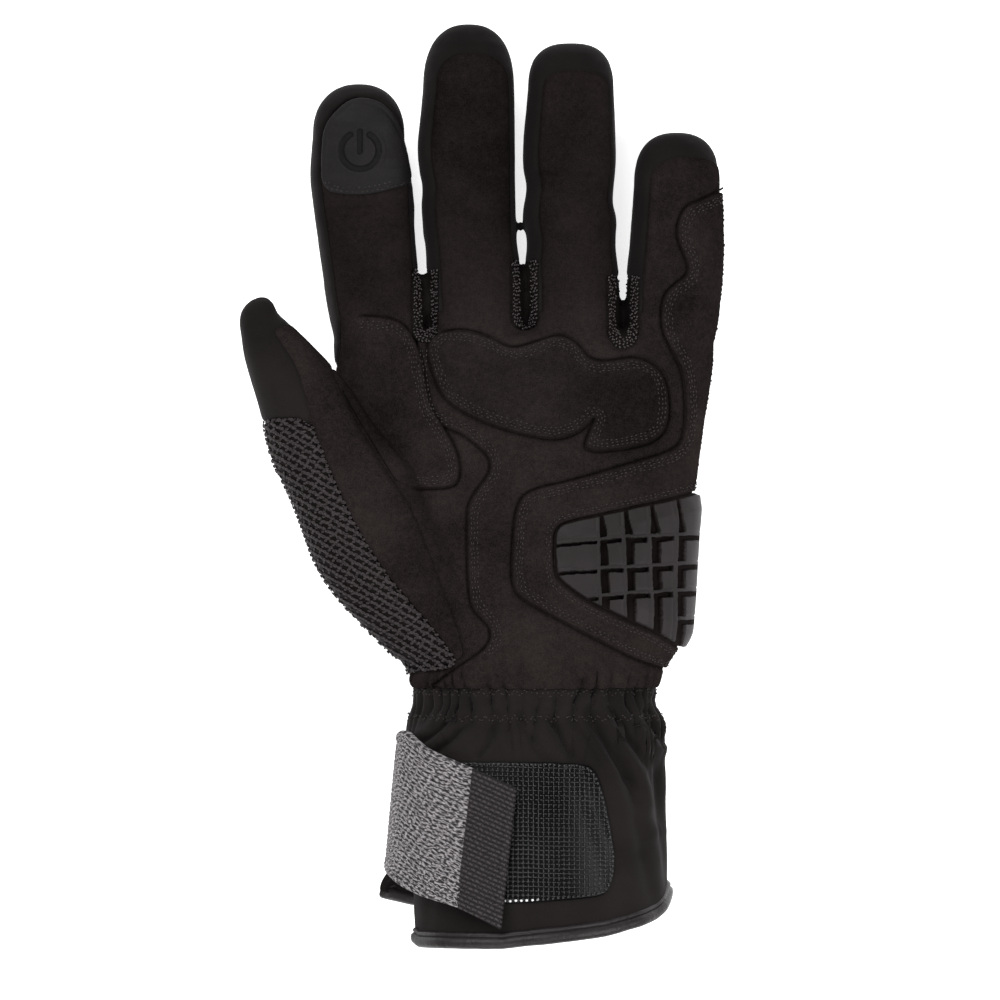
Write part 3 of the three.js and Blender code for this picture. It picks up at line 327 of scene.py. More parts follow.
def digit_rings(digit):
    rows = digit["rows"]
    if "left_x" not in rows:
        rows = straight(rows)
        middle = (rows["left_x"][-1] + rows["right_x"][-1]) / 2
        tip = (middle, digit["tip"][0], digit["tip"][1])
    else:
        tip = digit["tip"]
    return with_dome(sections(finer(rows, 40), 72, HAND_SQUARENESS), tip, digit["roundness"])


def plain_mesh(name, points, faces):
    mesh = bpy.data.meshes.new(name)
    mesh.from_pydata(np.asarray(points).tolist(), [], faces)
    mesh.update()
    return mesh


def arrays_of(mesh):
    """Corner points and triangles of a mesh."""
    points = np.zeros(len(mesh.vertices) * 3)
    mesh.vertices.foreach_get("co", points)
    mesh.calc_loop_triangles()
    triangles = np.zeros(len(mesh.loop_triangles) * 3, int)
    mesh.loop_triangles.foreach_get("vertices", triangles)
    return points.reshape(-1, 3), triangles.reshape(-1, 3)


def fused_skin():
    """The hand and its digits as one skin: overlapping lofts, fused by a fine voxel remesh."""
    shapes = [sections(straight(finer(HAND, 80)), 120, HAND_SQUARENESS)[::-1]]
    shapes += [digit_rings(digit) for digit in [*FINGERS.values(), THUMB]]
    points, faces = [], []
    for rings in shapes:
        start = sum(len(p) for p in points)
        count, sides = rings.shape[:2]
        points.append(rings.reshape(-1, 3))
        faces += [[start + i for i in face] for face in ring_faces(count, sides)]
    holder = bpy.data.objects.new("skin_lofts", plain_mesh("skin_lofts", np.concatenate(points), faces))
    bpy.context.scene.collection.objects.link(holder)
    remesh = holder.modifiers.new("fuse", "REMESH")
    remesh.mode = "VOXEL"
    remesh.voxel_size = VOXEL
    softened = holder.modifiers.new("soften", "SMOOTH")
    softened.factor = 0.5
    softened.iterations = SMOOTHING
    evaluated = holder.evaluated_get(bpy.context.evaluated_depsgraph_get())
    mesh = evaluated.to_mesh()
    skin = Cloth(*arrays_of(mesh))
    evaluated.to_mesh_clear()
    bpy.data.objects.remove(holder)
    return thinned_below(skin)


def thinned_below(skin):
    """The skin with fewer triangles where it faces the table."""
    holder = bpy.data.objects.new("skin", plain_mesh("skin", skin.points, skin.triangles.tolist()))
    bpy.context.scene.collection.objects.link(holder)
    below = np.flatnonzero(skin.normals()[:, 2] < -0.4)
    holder.vertex_groups.new(name="below").add(below.tolist(), 1.0, "REPLACE")
    fewer = holder.modifiers.new("fewer", "DECIMATE")
    fewer.vertex_group = "below"
    fewer.ratio = KEPT_BELOW
    evaluated = holder.evaluated_get(bpy.context.evaluated_depsgraph_get())
    mesh = evaluated.to_mesh()
    skin = Cloth(*arrays_of(mesh))
    evaluated.to_mesh_clear()
    bpy.data.objects.remove(holder)
    return skin


# Cloth: triangles that can be cut along a line and laid up into walls

class Cloth:
    """Triangles in millimetres, with named values at every corner."""

    def __init__(self, points, triangles, values=None):
        self.points = points
        self.triangles = triangles
        self.values = values or {}

    def normals(self):
        a, b, c = (self.points[self.triangles[:, i]] for i in range(3))
        face = np.cross(b - a, c - a)
        total = np.zeros_like(self.points)
        for i in range(3):
            for axis in range(3):
                total[:, axis] += np.bincount(self.triangles[:, i], face[:, axis], len(self.points))
        return total / np.maximum(np.linalg.norm(total, axis=1, keepdims=True), TINY)

    def moved(self, offset):
        """Every corner moved along its normal."""
        return Cloth(self.points + self.normals() * offset[:, None], self.triangles, self.values)

    def cut(self, field, level=0.0):
        """Splits the triangles along the line where the field has that level. Returns the cloth and
        the side of each triangle, and the line's pieces as pairs of corners."""
        field = field - level
        field = np.where(np.abs(field) < 1e-5, 1e-5, field)
        above = field > 0
        count = above[self.triangles].sum(1)
        whole = (count == 0) | (count == 3)
        crossed = self.triangles[~whole]
        lone_above = count[~whole] == 1
        high = above[crossed]
        lone = np.where(lone_above, high.argmax(1), (~high).argmax(1))
        row = np.arange(len(crossed))
        a, b, c = (crossed[row, (lone + i) % 3] for i in range(3))
        pairs = np.sort(np.concatenate([np.stack([a, b], 1), np.stack([a, c], 1)]), 1)
        key = pairs[:, 0] * len(self.points) + pairs[:, 1]
        _, first, place = np.unique(key, return_index=True, return_inverse=True)
        p, q = pairs[first].T
        share = field[p] / (field[p] - field[q])
        ab = len(self.points) + place[:len(a)]
        ac = len(self.points) + place[len(a):]
        points = np.concatenate([self.points, mix(self.points[p], self.points[q], share[:, None])])
        values = {name: np.concatenate([v, mix(v[p], v[q], share if v.ndim == 1 else share[:, None])])
                  for name, v in self.values.items()}
        triangles = np.concatenate([self.triangles[whole], np.stack([a, ab, ac], 1),
                                    np.stack([ab, b, c], 1), np.stack([ab, c, ac], 1)])
        side = np.concatenate([count[whole] == 3, lone_above, ~lone_above, ~lone_above])
        return Cloth(points, triangles, values), side, np.stack([ab, ac], 1)

    def part(self, chosen):
        """The chosen triangles alone."""
        used, place = np.unique(self.triangles[chosen], return_inverse=True)
        values = {name: v[used] for name, v in self.values.items()}
        return Cloth(self.points[used], place.reshape(-1, 3), values)

    def largest(self):
        """Only the largest connected piece."""
        label = np.arange(len(self.points))
        while True:
            low = label[self.triangles].min(1)
            new = label.copy()
            np.minimum.at(new, self.triangles.ravel(), np.repeat(low, 3))
            new = new[new]
            if (new == label).all():
                break
            label = new
        owner = label[self.triangles[:, 0]]
        names, counts = np.unique(owner, return_counts=True)
        return self.part(owner == names[counts.argmax()])

    def divided(self):
        """Each triangle as four."""
        edges = np.sort(self.triangles[:, [0, 1, 1, 2, 2, 0]].reshape(-1, 2), 1)
        key = edges[:, 0] * len(self.points) + edges[:, 1]
        _, first, place = np.unique(key, return_index=True, return_inverse=True)
        p, q = edges[first].T
        ab, bc, ca = (len(self.points) + place.reshape(-1, 3)).T
        a, b, c = self.triangles.T
        triangles = np.concatenate([np.stack(t, 1) for t in
                                    [(a, ab, ca), (ab, b, bc), (ca, bc, c), (ab, bc, ca)]])
        values = {name: np.concatenate([v, (v[p] + v[q]) / 2]) for name, v in self.values.items()}
        return Cloth(np.concatenate([self.points, (self.points[p] + self.points[q]) / 2]), triangles, values)

    def open_edges(self):
        """Directed edges that only one triangle has."""
        edges = self.triangles[:, [0, 1, 1, 2, 2, 0]].reshape(-1, 2)
        ordered = np.sort(edges, 1)
        key = ordered[:, 0] * len(self.points) + ordered[:, 1]
        _, place, counts = np.unique(key, return_inverse=True, return_counts=True)
        return edges[counts[place] == 1]

    def from_edge(self, below=1e9):
        """Distance of every corner to the cloth's edge, as far as the edge lies below a y."""
        edges = self.open_edges()
        edges = edges[self.points[edges[:, 0], 1] < below]
        start, end = self.points[edges[:, 0]], self.points[edges[:, 1]]
        steps = np.linspace(0, 1, 7)[:-1]
        samples = np.concatenate([mix(start, end, s) for s in steps])
        tree = KDTree(len(samples))
        for i, point in enumerate(samples):
            tree.insert(point, i)
        tree.balance()
        return np.array([tree.find(point)[2] for point in self.points])

    def ringed(self, name, levels):
        """Extra corners along the lines where a value has each level."""
        cloth = self
        for level in levels:
            cloth = cloth.cut(cloth.values[name], level)[0]
        return cloth

    def wall(self, top, bottom):
        """A closed wall between two offsets from the cloth."""
        normal = self.normals()
        count = len(self.points)
        upper = self.points + normal * np.broadcast_to(top, count)[:, None]
        lower = self.points + normal * np.broadcast_to(bottom, count)[:, None]
        a, b = self.open_edges().T
        rim = np.concatenate([np.stack([b, a, a + count], 1), np.stack([b, a + count, b + count], 1)])
        triangles = np.concatenate([self.triangles, self.triangles[:, ::-1] + count, rim])
        return np.concatenate([upper, lower]), triangles


EDGE_RINGS = (0.12, 0.35, 0.7, 1.1)


def taken(cloth, field, refine=0):
    """Cuts the part of a cloth where the field is positive. Returns it and the rest."""
    whole, side, _ = cloth.cut(field)
    piece = whole.part(side).largest()
    for _ in range(refine):
        piece = piece.divided()
    piece.values["edge"] = piece.from_edge()
    return piece.ringed("edge", EDGE_RINGS), whole.part(~side)


def seam_dip(edge, depth=0.7, width=0.8):
    """A panel's edge turned down into its seam."""
    return -depth * np.exp(-(edge / width) ** 1.6)


def rolled_edge(edge, thick, round_over=0.9):
    """A sewn-on layer's height: it rises steeply from its cut edge."""
    share = np.clip(edge / round_over, 0, 1)
    return thick * np.sqrt(1 - (1 - share) ** 2)


def groove(value, at, width, depth):
    return -depth * np.exp(-((value - at) / width) ** 2)


# Relief that runs over all the cloth of the palm side

def folds_at(points, normals):
    """Depth of the soft creases, each with a low ridge on both sides."""
    total = np.zeros(len(points))
    facing = smoothstep(0.0, 0.45, normals[:, 2])
    for i in range(len(FOLDS["x0"])):
        f = {name: column[i] for name, column in FOLDS.items()}
        ends = through(np.array([(f["x0"], f["y0"]), (f["x1"], f["y1"]), (f["x2"], f["y2"])]),
                       np.linspace(0, 2, 9))
        near = to_line(points, ends)
        first = np.hypot(points[:, 0] - ends[0, 0], points[:, 1] - ends[0, 1])
        last = np.hypot(points[:, 0] - ends[-1, 0], points[:, 1] - ends[-1, 1])
        length = np.hypot(*(ends[-1] - ends[0]))
        taper = smoothstep(0, 0.35 * length, np.minimum(first, last) + 0.1 * length)
        crease = -np.exp(-(near / (0.55 * f["width"])) ** 2) + 0.55 * np.exp(-((near - 1.5 * f["width"])
                                                                              / f["width"]) ** 2)
        total += f["depth"] * taper * crease
    return total * facing


def billows(points, size, seed):
    """Soft unevenness from smooth noise."""
    shift = Vector((seed * 7.3, seed * 3.1, seed * 5.7))
    return np.array([noise.noise(Vector(p) / size + shift) for p in points])


def round_angle(x, z, left, right, back, palm, squareness):
    """Angle round a section, from the little finger's side over the palm."""
    u = (x - (left + right) / 2) / ((right - left) / 2)
    w = (z - (back + palm) / 2) / ((palm - back) / 2)
    sharp = np.where(w > 0, squareness["palm"], squareness["back"])
    return np.arctan2(power(w, sharp / 2), power(u, sharp / 2))


def pleats_at(angle, y):
    """Height of the gathers of the elastic: round crests and sharp valleys, a little uneven."""
    drift = 0.9 * np.sin(3 * angle + 0.6) + 0.6 * np.sin(7 * angle + 1.9) + 0.4 * np.sin(11 * angle)
    slant = (y + 66) * (0.2 * np.sin(5 * angle + 1.0) + 0.16 * np.cos(angle) + 0.1 * np.sin(17 * angle))
    phase = PLEATS * angle + 2.2 * drift + slant
    uneven = 0.8 + 0.3 * np.sin(9 * angle + 0.35 * y)
    return uneven * (np.abs(np.cos(phase / 2)) ** 0.75 - 0.6) + 0.14 * np.sin(5 * angle + 0.4 * y)


# Finishes

def linear(red, green, blue):
    return tuple(((c / 255 + 0.055) / 1.055) ** 2.4 if c > 10 else c / 255 / 12.92
                 for c in (red, green, blue)) + (1.0,)


class Finish:
    """A material with a Principled shader, and short ways to add nodes to it."""

    def __init__(self, name, roughness, specular=0.5, sheen=0.0):
        self.material = bpy.data.materials.new(name)
        self.material.use_nodes = True
        self.tree = self.material.node_tree
        self.shader = self.tree.nodes["Principled BSDF"]
        self.shader.inputs["Roughness"].default_value = roughness
        self.shader.inputs["Specular IOR Level"].default_value = specular
        self.shader.inputs["Sheen Weight"].default_value = sheen
        self.shader.inputs["Sheen Roughness"].default_value = 0.5
        coordinates = self.tree.nodes.new("ShaderNodeTexCoord")
        self.place = coordinates.outputs["Object"]
        self.uv = coordinates.outputs["UV"]

    def link(self, source, target):
        self.tree.links.new(source, target)
        return source

    def scaled(self, source, scale):
        mapping = self.tree.nodes.new("ShaderNodeMapping")
        mapping.inputs["Scale"].default_value = scale
        self.link(source, mapping.inputs["Vector"])
        return mapping.outputs["Vector"]

    def noise(self, source, scale, detail=3.0):
        node = self.tree.nodes.new("ShaderNodeTexNoise")
        node.inputs["Scale"].default_value = scale
        node.inputs["Detail"].default_value = detail
        self.link(source, node.inputs["Vector"])
        return node.outputs["Fac"]

    def cells(self, source, scale):
        node = self.tree.nodes.new("ShaderNodeTexVoronoi")
        node.inputs["Scale"].default_value = scale
        self.link(source, node.inputs["Vector"])
        return node.outputs["Distance"]

    def between(self, source, low, high):
        node = self.tree.nodes.new("ShaderNodeMapRange")
        node.inputs["From Min"].default_value = low
        node.inputs["From Max"].default_value = high
        self.link(source, node.inputs["Value"])
        return node.outputs["Result"]

    def maths(self, operation, first, second=0.0):
        node = self.tree.nodes.new("ShaderNodeMath")
        node.operation = operation
        self.link(first, node.inputs[0])
        if isinstance(second, float):
            node.inputs[1].default_value = second
        else:
            self.link(second, node.inputs[1])
        return node.outputs[0]

    def rows_and_steps(self, source, long, high, shift):
        """How far each place is from a row's border and from a step along it, both from 0 to 0.5."""
        split = self.tree.nodes.new("ShaderNodeSeparateXYZ")
        self.link(source, split.inputs[0])
        across = self.maths("DIVIDE", split.outputs[1], high)
        shifted = self.maths("MULTIPLY", self.maths("FLOOR", self.maths("ADD", across, 0.5)), shift)
        along = self.maths("ADD", self.maths("DIVIDE", split.outputs[0], long), shifted)
        return self.maths("PINGPONG", across, 0.5), self.maths("PINGPONG", along, 0.5)

    def wavy(self, source, scale, reach):
        """Coordinates shifted a little by smooth noise, so that rows wander."""
        blur = self.tree.nodes.new("ShaderNodeTexNoise")
        blur.inputs["Scale"].default_value = scale
        blur.inputs["Detail"].default_value = 1.0
        self.link(source, blur.inputs["Vector"])
        node = self.tree.nodes.new("ShaderNodeVectorMath")
        node.operation = "MULTIPLY_ADD"
        node.inputs[1].default_value = (reach, reach, 0)
        self.link(blur.outputs["Color"], node.inputs[0])
        self.link(source, node.inputs[2])
        return node.outputs["Vector"]

    def value_of(self, attribute):
        node = self.tree.nodes.new("ShaderNodeAttribute")
        node.attribute_name = attribute
        return node.outputs["Fac"]

    def darker(self, share, floor):
        """Mixes the base colour towards a dark floor where share is 1."""
        node = self.tree.nodes.new("ShaderNodeMix")
        node.data_type = "RGBA"
        node.inputs[7].default_value = linear(*floor)
        base = self.shader.inputs["Base Color"]
        self.link(base.links[0].from_socket, node.inputs[6])
        self.link(share, node.inputs[0])
        self.link(node.outputs[2], base)

    def sum(self, first, second, share=1.0):
        node = self.tree.nodes.new("ShaderNodeMath")
        node.operation = "MULTIPLY_ADD"
        node.inputs[1].default_value = share
        self.link(second, node.inputs[0])
        self.link(first, node.inputs[2])
        return node.outputs[0]

    def colour(self, source, dark, light):
        node = self.tree.nodes.new("ShaderNodeMix")
        node.data_type = "RGBA"
        node.inputs[6].default_value = linear(*dark)
        node.inputs[7].default_value = linear(*light)
        self.link(source, node.inputs[0])
        self.link(node.outputs[2], self.shader.inputs["Base Color"])

    def bump(self, source, strength, distance):
        node = self.tree.nodes.new("ShaderNodeBump")
        node.inputs["Strength"].default_value = strength
        node.inputs["Distance"].default_value = distance
        self.link(source, node.inputs["Height"])
        self.link(node.outputs["Normal"], self.shader.inputs["Normal"])

    def uneven_roughness(self, source, low, high):
        node = self.tree.nodes.new("ShaderNodeMapRange")
        node.inputs["To Min"].default_value = low
        node.inputs["To Max"].default_value = high
        self.link(source, node.inputs["Value"])
        self.link(node.outputs["Result"], self.shader.inputs["Roughness"])


def suede(name, dark, light):
    """Brushed nap: fine fibres, and soft darker and lighter patches where it was stroked."""
    f = Finish(name, 0.95, specular=0.0)
    nap = f.noise(f.place, 2600, 4)
    strokes = f.noise(f.place, 120, 5)
    patches = f.noise(f.place, 26, 3)
    mottle = f.noise(f.place, 650, 2)
    all_of_it = f.sum(f.sum(f.sum(patches, strokes, 0.4), nap, 0.9), mottle, 0.4)
    f.colour(f.between(all_of_it, 1.0, 1.7), dark, light)
    # painted shade: darker towards (4, 3, 3) in seams, grooves and on the shaded fingers
    f.darker(f.value_of("painted_shade"), (4, 3, 3))
    f.bump(f.sum(nap, strokes, 0.5), 0.55, 0.00035)
    return f.material


def softshell(name, dark, light):
    """Close stretch cloth with a faint grid of threads."""
    f = Finish(name, 0.8, specular=0.05, sheen=0.02)
    threads = f.noise(f.place, 3200, 2)
    patches = f.noise(f.place, 40, 3)
    f.colour(f.between(f.sum(patches, threads, 0.5), 0.5, 1.1), dark, light)
    # painted shade: darker towards (4, 3, 3) in grooves and on the shaded finger bands
    f.darker(f.value_of("painted_shade"), (4, 3, 3))
    f.bump(f.sum(threads, patches, 0.6), 0.3, 0.0002)
    return f.material


def leather(name, dark, light, roughness, grain, specular=0.5):
    """Smooth leather: small pebbles and fine creases, with shade painted darker where it is pressed in."""
    f = Finish(name, roughness, specular=specular)
    pebbles = f.cells(f.place, grain)
    creases = f.noise(f.place, 90, 6)
    f.colour(f.between(f.sum(creases, pebbles, 0.4), 0.3, 1.0), dark, light)
    # painted shade: darker towards (7, 6, 6) in the pressed-in sign
    f.darker(f.value_of("painted_shade"), (7, 6, 6))
    f.uneven_roughness(creases, roughness - 0.12, roughness + 0.12)
    f.bump(f.sum(creases, pebbles, 0.5), 0.45, 0.0003)
    return f.material


def moulded(name, dark, light, roughness, specular):
    """Moulded plastic or rubber with a fine spark-eroded face, a few scuffs, and shade painted darker in its
    slots.
    """
    f = Finish(name, roughness, specular=specular)
    grain = f.noise(f.place, 2400, 3)
    scuffs = f.noise(f.place, 60, 6)
    f.colour(f.between(scuffs, 0.3, 0.7), dark, light)
    # painted shade: darker towards (19, 14, 14) in the slots and along the plate's rim
    f.darker(f.value_of("painted_shade"), (19, 14, 14))
    f.uneven_roughness(scuffs, roughness - 0.08, roughness + 0.1)
    f.bump(grain, 0.2, 0.0001)
    return f.material


def yarn(name, dark, light, specular=0.25):
    """Twisted thread with a little shine."""
    f = Finish(name, 0.65, specular=specular)
    strands = f.noise(f.place, 1800, 3)
    f.colour(f.between(strands, 0.3, 0.7), dark, light)
    f.bump(strands, 0.4, 0.0002)
    return f.material


def melange_webbing():
    """Light rows with short dark dashes between them, and dark streaks. UV counts in millimetres."""
    f = Finish("melange_webbing", 0.85, specular=0.2, sheen=0.05)
    place = f.wavy(f.wavy(f.uv, 0.15, 1.6), 0.9, 0.5)
    row, step = f.rows_and_steps(place, WEB_STEP["long"], WEB_ROW, WEB_STEP["shift"])
    loose = f.noise(f.scaled(place, (0.6, 1.1, 1)), 1.0, 2)
    dash = f.between(f.sum(step, loose, 1.2), 1.0, 0.84)
    dark = f.maths("MULTIPLY", f.between(row, 0.26, 0.12), dash)
    strands = f.noise(f.scaled(place, (0.75, 3.0, 1)), 1.0, 2)
    f.colour(f.between(strands, 0.43, 0.57), (28, 26, 27), (146, 142, 144))
    f.darker(dark, (24, 22, 23))
    fuzz = f.noise(f.place, 2800, 3)
    f.bump(f.sum(fuzz, strands, 1.2), 0.7, 0.0004)
    return f.material


def basket_weave():
    """Dark threads with short thin light stitches in staggered rows, and a painted shadow line beside each
    stitch. UV counts in millimetres.
    """
    f = Finish("basket_weave", 0.75, specular=0.12)
    row, step = f.rows_and_steps(f.wavy(f.uv, 1.2, 0.7), WEAVE_STEP["long"], WEB_ROW, WEAVE_STEP["shift"])
    stitch = f.maths("MULTIPLY", f.between(row, 0.3, 0.1), f.between(step, 0.44, 0.34))
    threads = f.noise(f.place, 1300, 3)
    f.colour(f.maths("MULTIPLY", stitch, f.between(threads, 0.1, 0.7)), (30, 28, 28), (66, 61, 63))
    # painted shadow: a dark line (15, 14, 14) beside each stitch
    stitch_shadow = f.maths("MULTIPLY", f.between(row, 0.32, 0.42), f.between(step, 0.4, 0.3))
    f.darker(stitch_shadow, (15, 14, 14))
    f.bump(f.sum(threads, stitch, 1.5), 0.6, 0.0003)
    return f.material


MATERIALS = {
    "suede": suede("suede", (15, 12, 12), (39, 34, 33)),
    "pad_suede": suede("pad_suede", (14, 11, 11), (36, 31, 31)),
    "softshell": softshell("softshell", (15, 12, 12), (30, 26, 26)),
    "knit_ground": yarn("knit_ground", (12, 9, 9), (19, 15, 15), 0.03),
    "knit_yarn": yarn("knit_yarn", (15, 12, 13), (56, 50, 51), 0.12),
    "gusset_yarn": yarn("gusset_yarn", (22, 19, 19), (80, 74, 75), 0.1),
    "thread": yarn("thread", (26, 23, 23), (54, 49, 49), 0.1),
    "touch_leather": leather("touch_leather", (14, 13, 13), (25, 23, 23), 0.6, 2200, 0.1),
    "binding_leather": leather("binding_leather", (17, 15, 15), (33, 29, 30), 0.42, 1500, 0.22),
    "slider_rubber": moulded("slider_rubber", (27, 24, 24), (37, 33, 34), 0.55, 0.12),
    # slot_shade: a dark finish laid into the slider's slots as painted shade
    "slot_shade": moulded("slot_shade", (17, 12, 12), (25, 18, 18), 0.9, 0.05),
    "hook_base": moulded("hook_base", (4, 4, 4), (8, 8, 8), 0.3, 0.08),
    "hook_plastic": moulded("hook_plastic", (13, 14, 13), (36, 37, 36), 0.25, 0.35),
    # painted highlight: near-white plastic for the few border hooks that show glints
    "painted_highlight": moulded("painted_highlight", (150, 150, 151), (225, 225, 226), 0.25, 0.5),
    "melange_webbing": melange_webbing(),
    "basket_weave": basket_weave(),
}


# Finished pieces

def add_piece(name, points, faces, material, replaced=(), uv=None, painted_shade=None, shade_finish=None):
    """A mesh in the part's frame from millimetres, with its finish, riding on the glove. Where the shade
    values are given, for the outer face's points, shade is painted: its finish is darker there, or else a
    dark slot finish is laid there as painted shade."""
    placed = (np.asarray(points) - (MIDDLE_X, 0, 0)) * MM
    placed[:, 2] = np.maximum(placed[:, 2], 0.00002)
    mesh = bpy.data.meshes.new(name)
    faces = np.asarray(faces)
    mesh.vertices.add(len(placed))
    mesh.vertices.foreach_set("co", placed.astype(np.float32).ravel())
    mesh.loops.add(faces.size)
    mesh.loops.foreach_set("vertex_index", faces.astype(np.int32).ravel())
    mesh.polygons.add(len(faces))
    mesh.polygons.foreach_set("loop_start", np.arange(0, faces.size, faces.shape[1], dtype=np.int32))
    mesh.update(calc_edges=True)
    mesh.validate()
    mesh.shade_smooth()
    mesh.set_sharp_from_angle(angle=math.radians(52))
    if uv is not None:
        layer = mesh.uv_layers.new(name="UVMap")
        layer.data.foreach_set("uv", np.asarray(uv, np.float32)[faces.ravel()].ravel())
    # painted shade: a point attribute that darkens the finish where shade falls; depth holds it, padded with
    # zeros for the inner face
    if painted_shade is not None:
        depth = np.concatenate([painted_shade, np.zeros(len(placed) - len(painted_shade))])
        mesh.attributes.new("painted_shade", "FLOAT", "POINT").data.foreach_set("value", depth.astype(np.float32))
    piece = keep_piece(name, mesh, material, replaced)
    # faces deep in painted shade get the dark slot finish
    if shade_finish:
        mesh.materials.append(MATERIALS[shade_finish])
        in_painted_shade = (depth[faces].mean(1) > 0.5).astype(np.int32)
        mesh.polygons.foreach_set("material_index", in_painted_shade)
    return piece


def keep_piece(name, mesh, material, replaced=()):
    mesh.materials.clear()
    mesh.materials.append(MATERIALS[material])
    piece = bpy.data.objects.new(name, mesh)
    bpy.context.scene.collection.objects.link(piece)
    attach(piece, "root")
    if replaced:
        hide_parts(*replaced)
    return piece


# Geometry Nodes: small grains of thread along seams and ribs

def grain_tree():
    """Grains of thread at a pitch along every run of edges. The attribute out is the cloth's normal."""
    tree = bpy.data.node_groups.new("thread_along_a_line", "GeometryNodeTree")
    tree.interface.new_socket("Geometry", in_out="INPUT", socket_type="NodeSocketGeometry")
    sockets = {}
    for label, kind in [("Pitch", "Float"), ("Size", "Vector"), ("Turn", "Float"), ("Uneven", "Float"),
                        ("Seed", "Int"), ("Finish", "Material")]:
        made = tree.interface.new_socket(label, in_out="INPUT", socket_type="NodeSocket" + kind)
        sockets[label] = made.identifier
    tree.interface.new_socket("Geometry", in_out="OUTPUT", socket_type="NodeSocketGeometry")
    node = tree.nodes.new
    start, end = node("NodeGroupInput"), node("NodeGroupOutput")
    line = node("GeometryNodeMeshToCurve")
    spaced = node("GeometryNodeResampleCurve")
    spaced.mode = "LENGTH"
    normal = node("GeometryNodeInputNamedAttribute")
    normal.data_type = "FLOAT_VECTOR"
    normal.inputs["Name"].default_value = "out"
    tangent = node("GeometryNodeInputTangent")
    facing = node("FunctionNodeAxesToRotation")
    facing.primary_axis = "Z"
    facing.secondary_axis = "X"
    turn = node("ShaderNodeCombineXYZ")
    turned = node("FunctionNodeRotateRotation")
    turned.rotation_space = "LOCAL"
    to_rotation = node("FunctionNodeEulerToRotation")
    ball = node("GeometryNodeMeshUVSphere")
    ball.inputs["Segments"].default_value = 8
    ball.inputs["Rings"].default_value = 5
    ball.inputs["Radius"].default_value = 0.5
    chance = node("FunctionNodeRandomValue")
    chance.data_type = "FLOAT_VECTOR"
    chance.inputs["Min"].default_value = (-1, -1, -0.3)
    chance.inputs["Max"].default_value = (1, 1, 0.3)
    shift = node("ShaderNodeVectorMath")
    shift.operation = "SCALE"
    loose = node("GeometryNodeSetPosition")
    placed = node("GeometryNodeInstanceOnPoints")
    real = node("GeometryNodeRealizeInstances")
    smooth = node("GeometryNodeSetShadeSmooth")
    finish = node("GeometryNodeSetMaterial")
    link = tree.links.new
    link(start.outputs["Geometry"], line.inputs["Mesh"])
    link(line.outputs["Curve"], spaced.inputs["Curve"])
    link(start.outputs["Pitch"], spaced.inputs["Length"])
    link(start.outputs["Seed"], chance.inputs["Seed"])
    link(chance.outputs["Value"], shift.inputs[0])
    link(start.outputs["Uneven"], shift.inputs["Scale"])
    link(spaced.outputs["Curve"], loose.inputs["Geometry"])
    link(shift.outputs["Vector"], loose.inputs["Offset"])
    link(loose.outputs["Geometry"], placed.inputs["Points"])
    link(normal.outputs["Attribute"], facing.inputs["Primary Axis"])
    link(tangent.outputs["Tangent"], facing.inputs["Secondary Axis"])
    link(facing.outputs["Rotation"], turned.inputs["Rotation"])
    link(start.outputs["Turn"], turn.inputs["Z"])
    link(turn.outputs["Vector"], to_rotation.inputs["Euler"])
    link(to_rotation.outputs["Rotation"], turned.inputs["Rotate By"])
    link(turned.outputs["Rotation"], placed.inputs["Rotation"])
    link(ball.outputs["Mesh"], placed.inputs["Instance"])
    link(start.outputs["Size"], placed.inputs["Scale"])
    link(placed.outputs["Instances"], real.inputs["Geometry"])
    link(real.outputs["Geometry"], smooth.inputs["Geometry"])
    link(smooth.outputs["Geometry"], finish.inputs["Geometry"])
    link(start.outputs["Finish"], finish.inputs["Material"])
    link(finish.outputs["Geometry"], end.inputs["Geometry"])
    return tree, sockets


GRAINS, GRAIN_SOCKETS = grain_tree()


def grains_along(points, edges, out, pitch, size, turn, material, uneven=0.0, seed=5):
    """The realized grains along runs of edges, as a mesh in metres."""
    mesh = bpy.data.meshes.new("line")
    placed = (points - (MIDDLE_X, 0, 0)) * MM
    mesh.from_pydata(placed.tolist(), edges.tolist(), [])
    mesh.attributes.new("out", "FLOAT_VECTOR", "POINT").data.foreach_set("vector", out.ravel())
    holder = bpy.data.objects.new("line", mesh)
    modifier = holder.modifiers.new("thread", "NODES")
    modifier.node_group = GRAINS
    modifier[GRAIN_SOCKETS["Pitch"]] = pitch * MM
    modifier[GRAIN_SOCKETS["Size"]] = [s * MM for s in size]
    modifier[GRAIN_SOCKETS["Turn"]] = turn
    modifier[GRAIN_SOCKETS["Uneven"]] = uneven * MM
    modifier[GRAIN_SOCKETS["Seed"]] = seed
    modifier[GRAIN_SOCKETS["Finish"]] = MATERIALS[material]
    bpy.context.scene.collection.objects.link(holder)
    evaluated = holder.evaluated_get(bpy.context.evaluated_depsgraph_get())
    made = bpy.data.meshes.new_from_object(evaluated)
    bpy.data.objects.remove(holder)
    return made


def joined(meshes):
    """Several meshes as one set of points and quads or triangles."""
    points, faces = [], []
    start = 0
    for mesh in meshes:
        p, t = arrays_of(mesh)
        points.append(p)
        faces.append(t + start)
        start += len(p)
        bpy.data.meshes.remove(mesh)
    points = np.concatenate(points) / MM + (MIDDLE_X, 0, 0)
    return points, np.concatenate(faces)


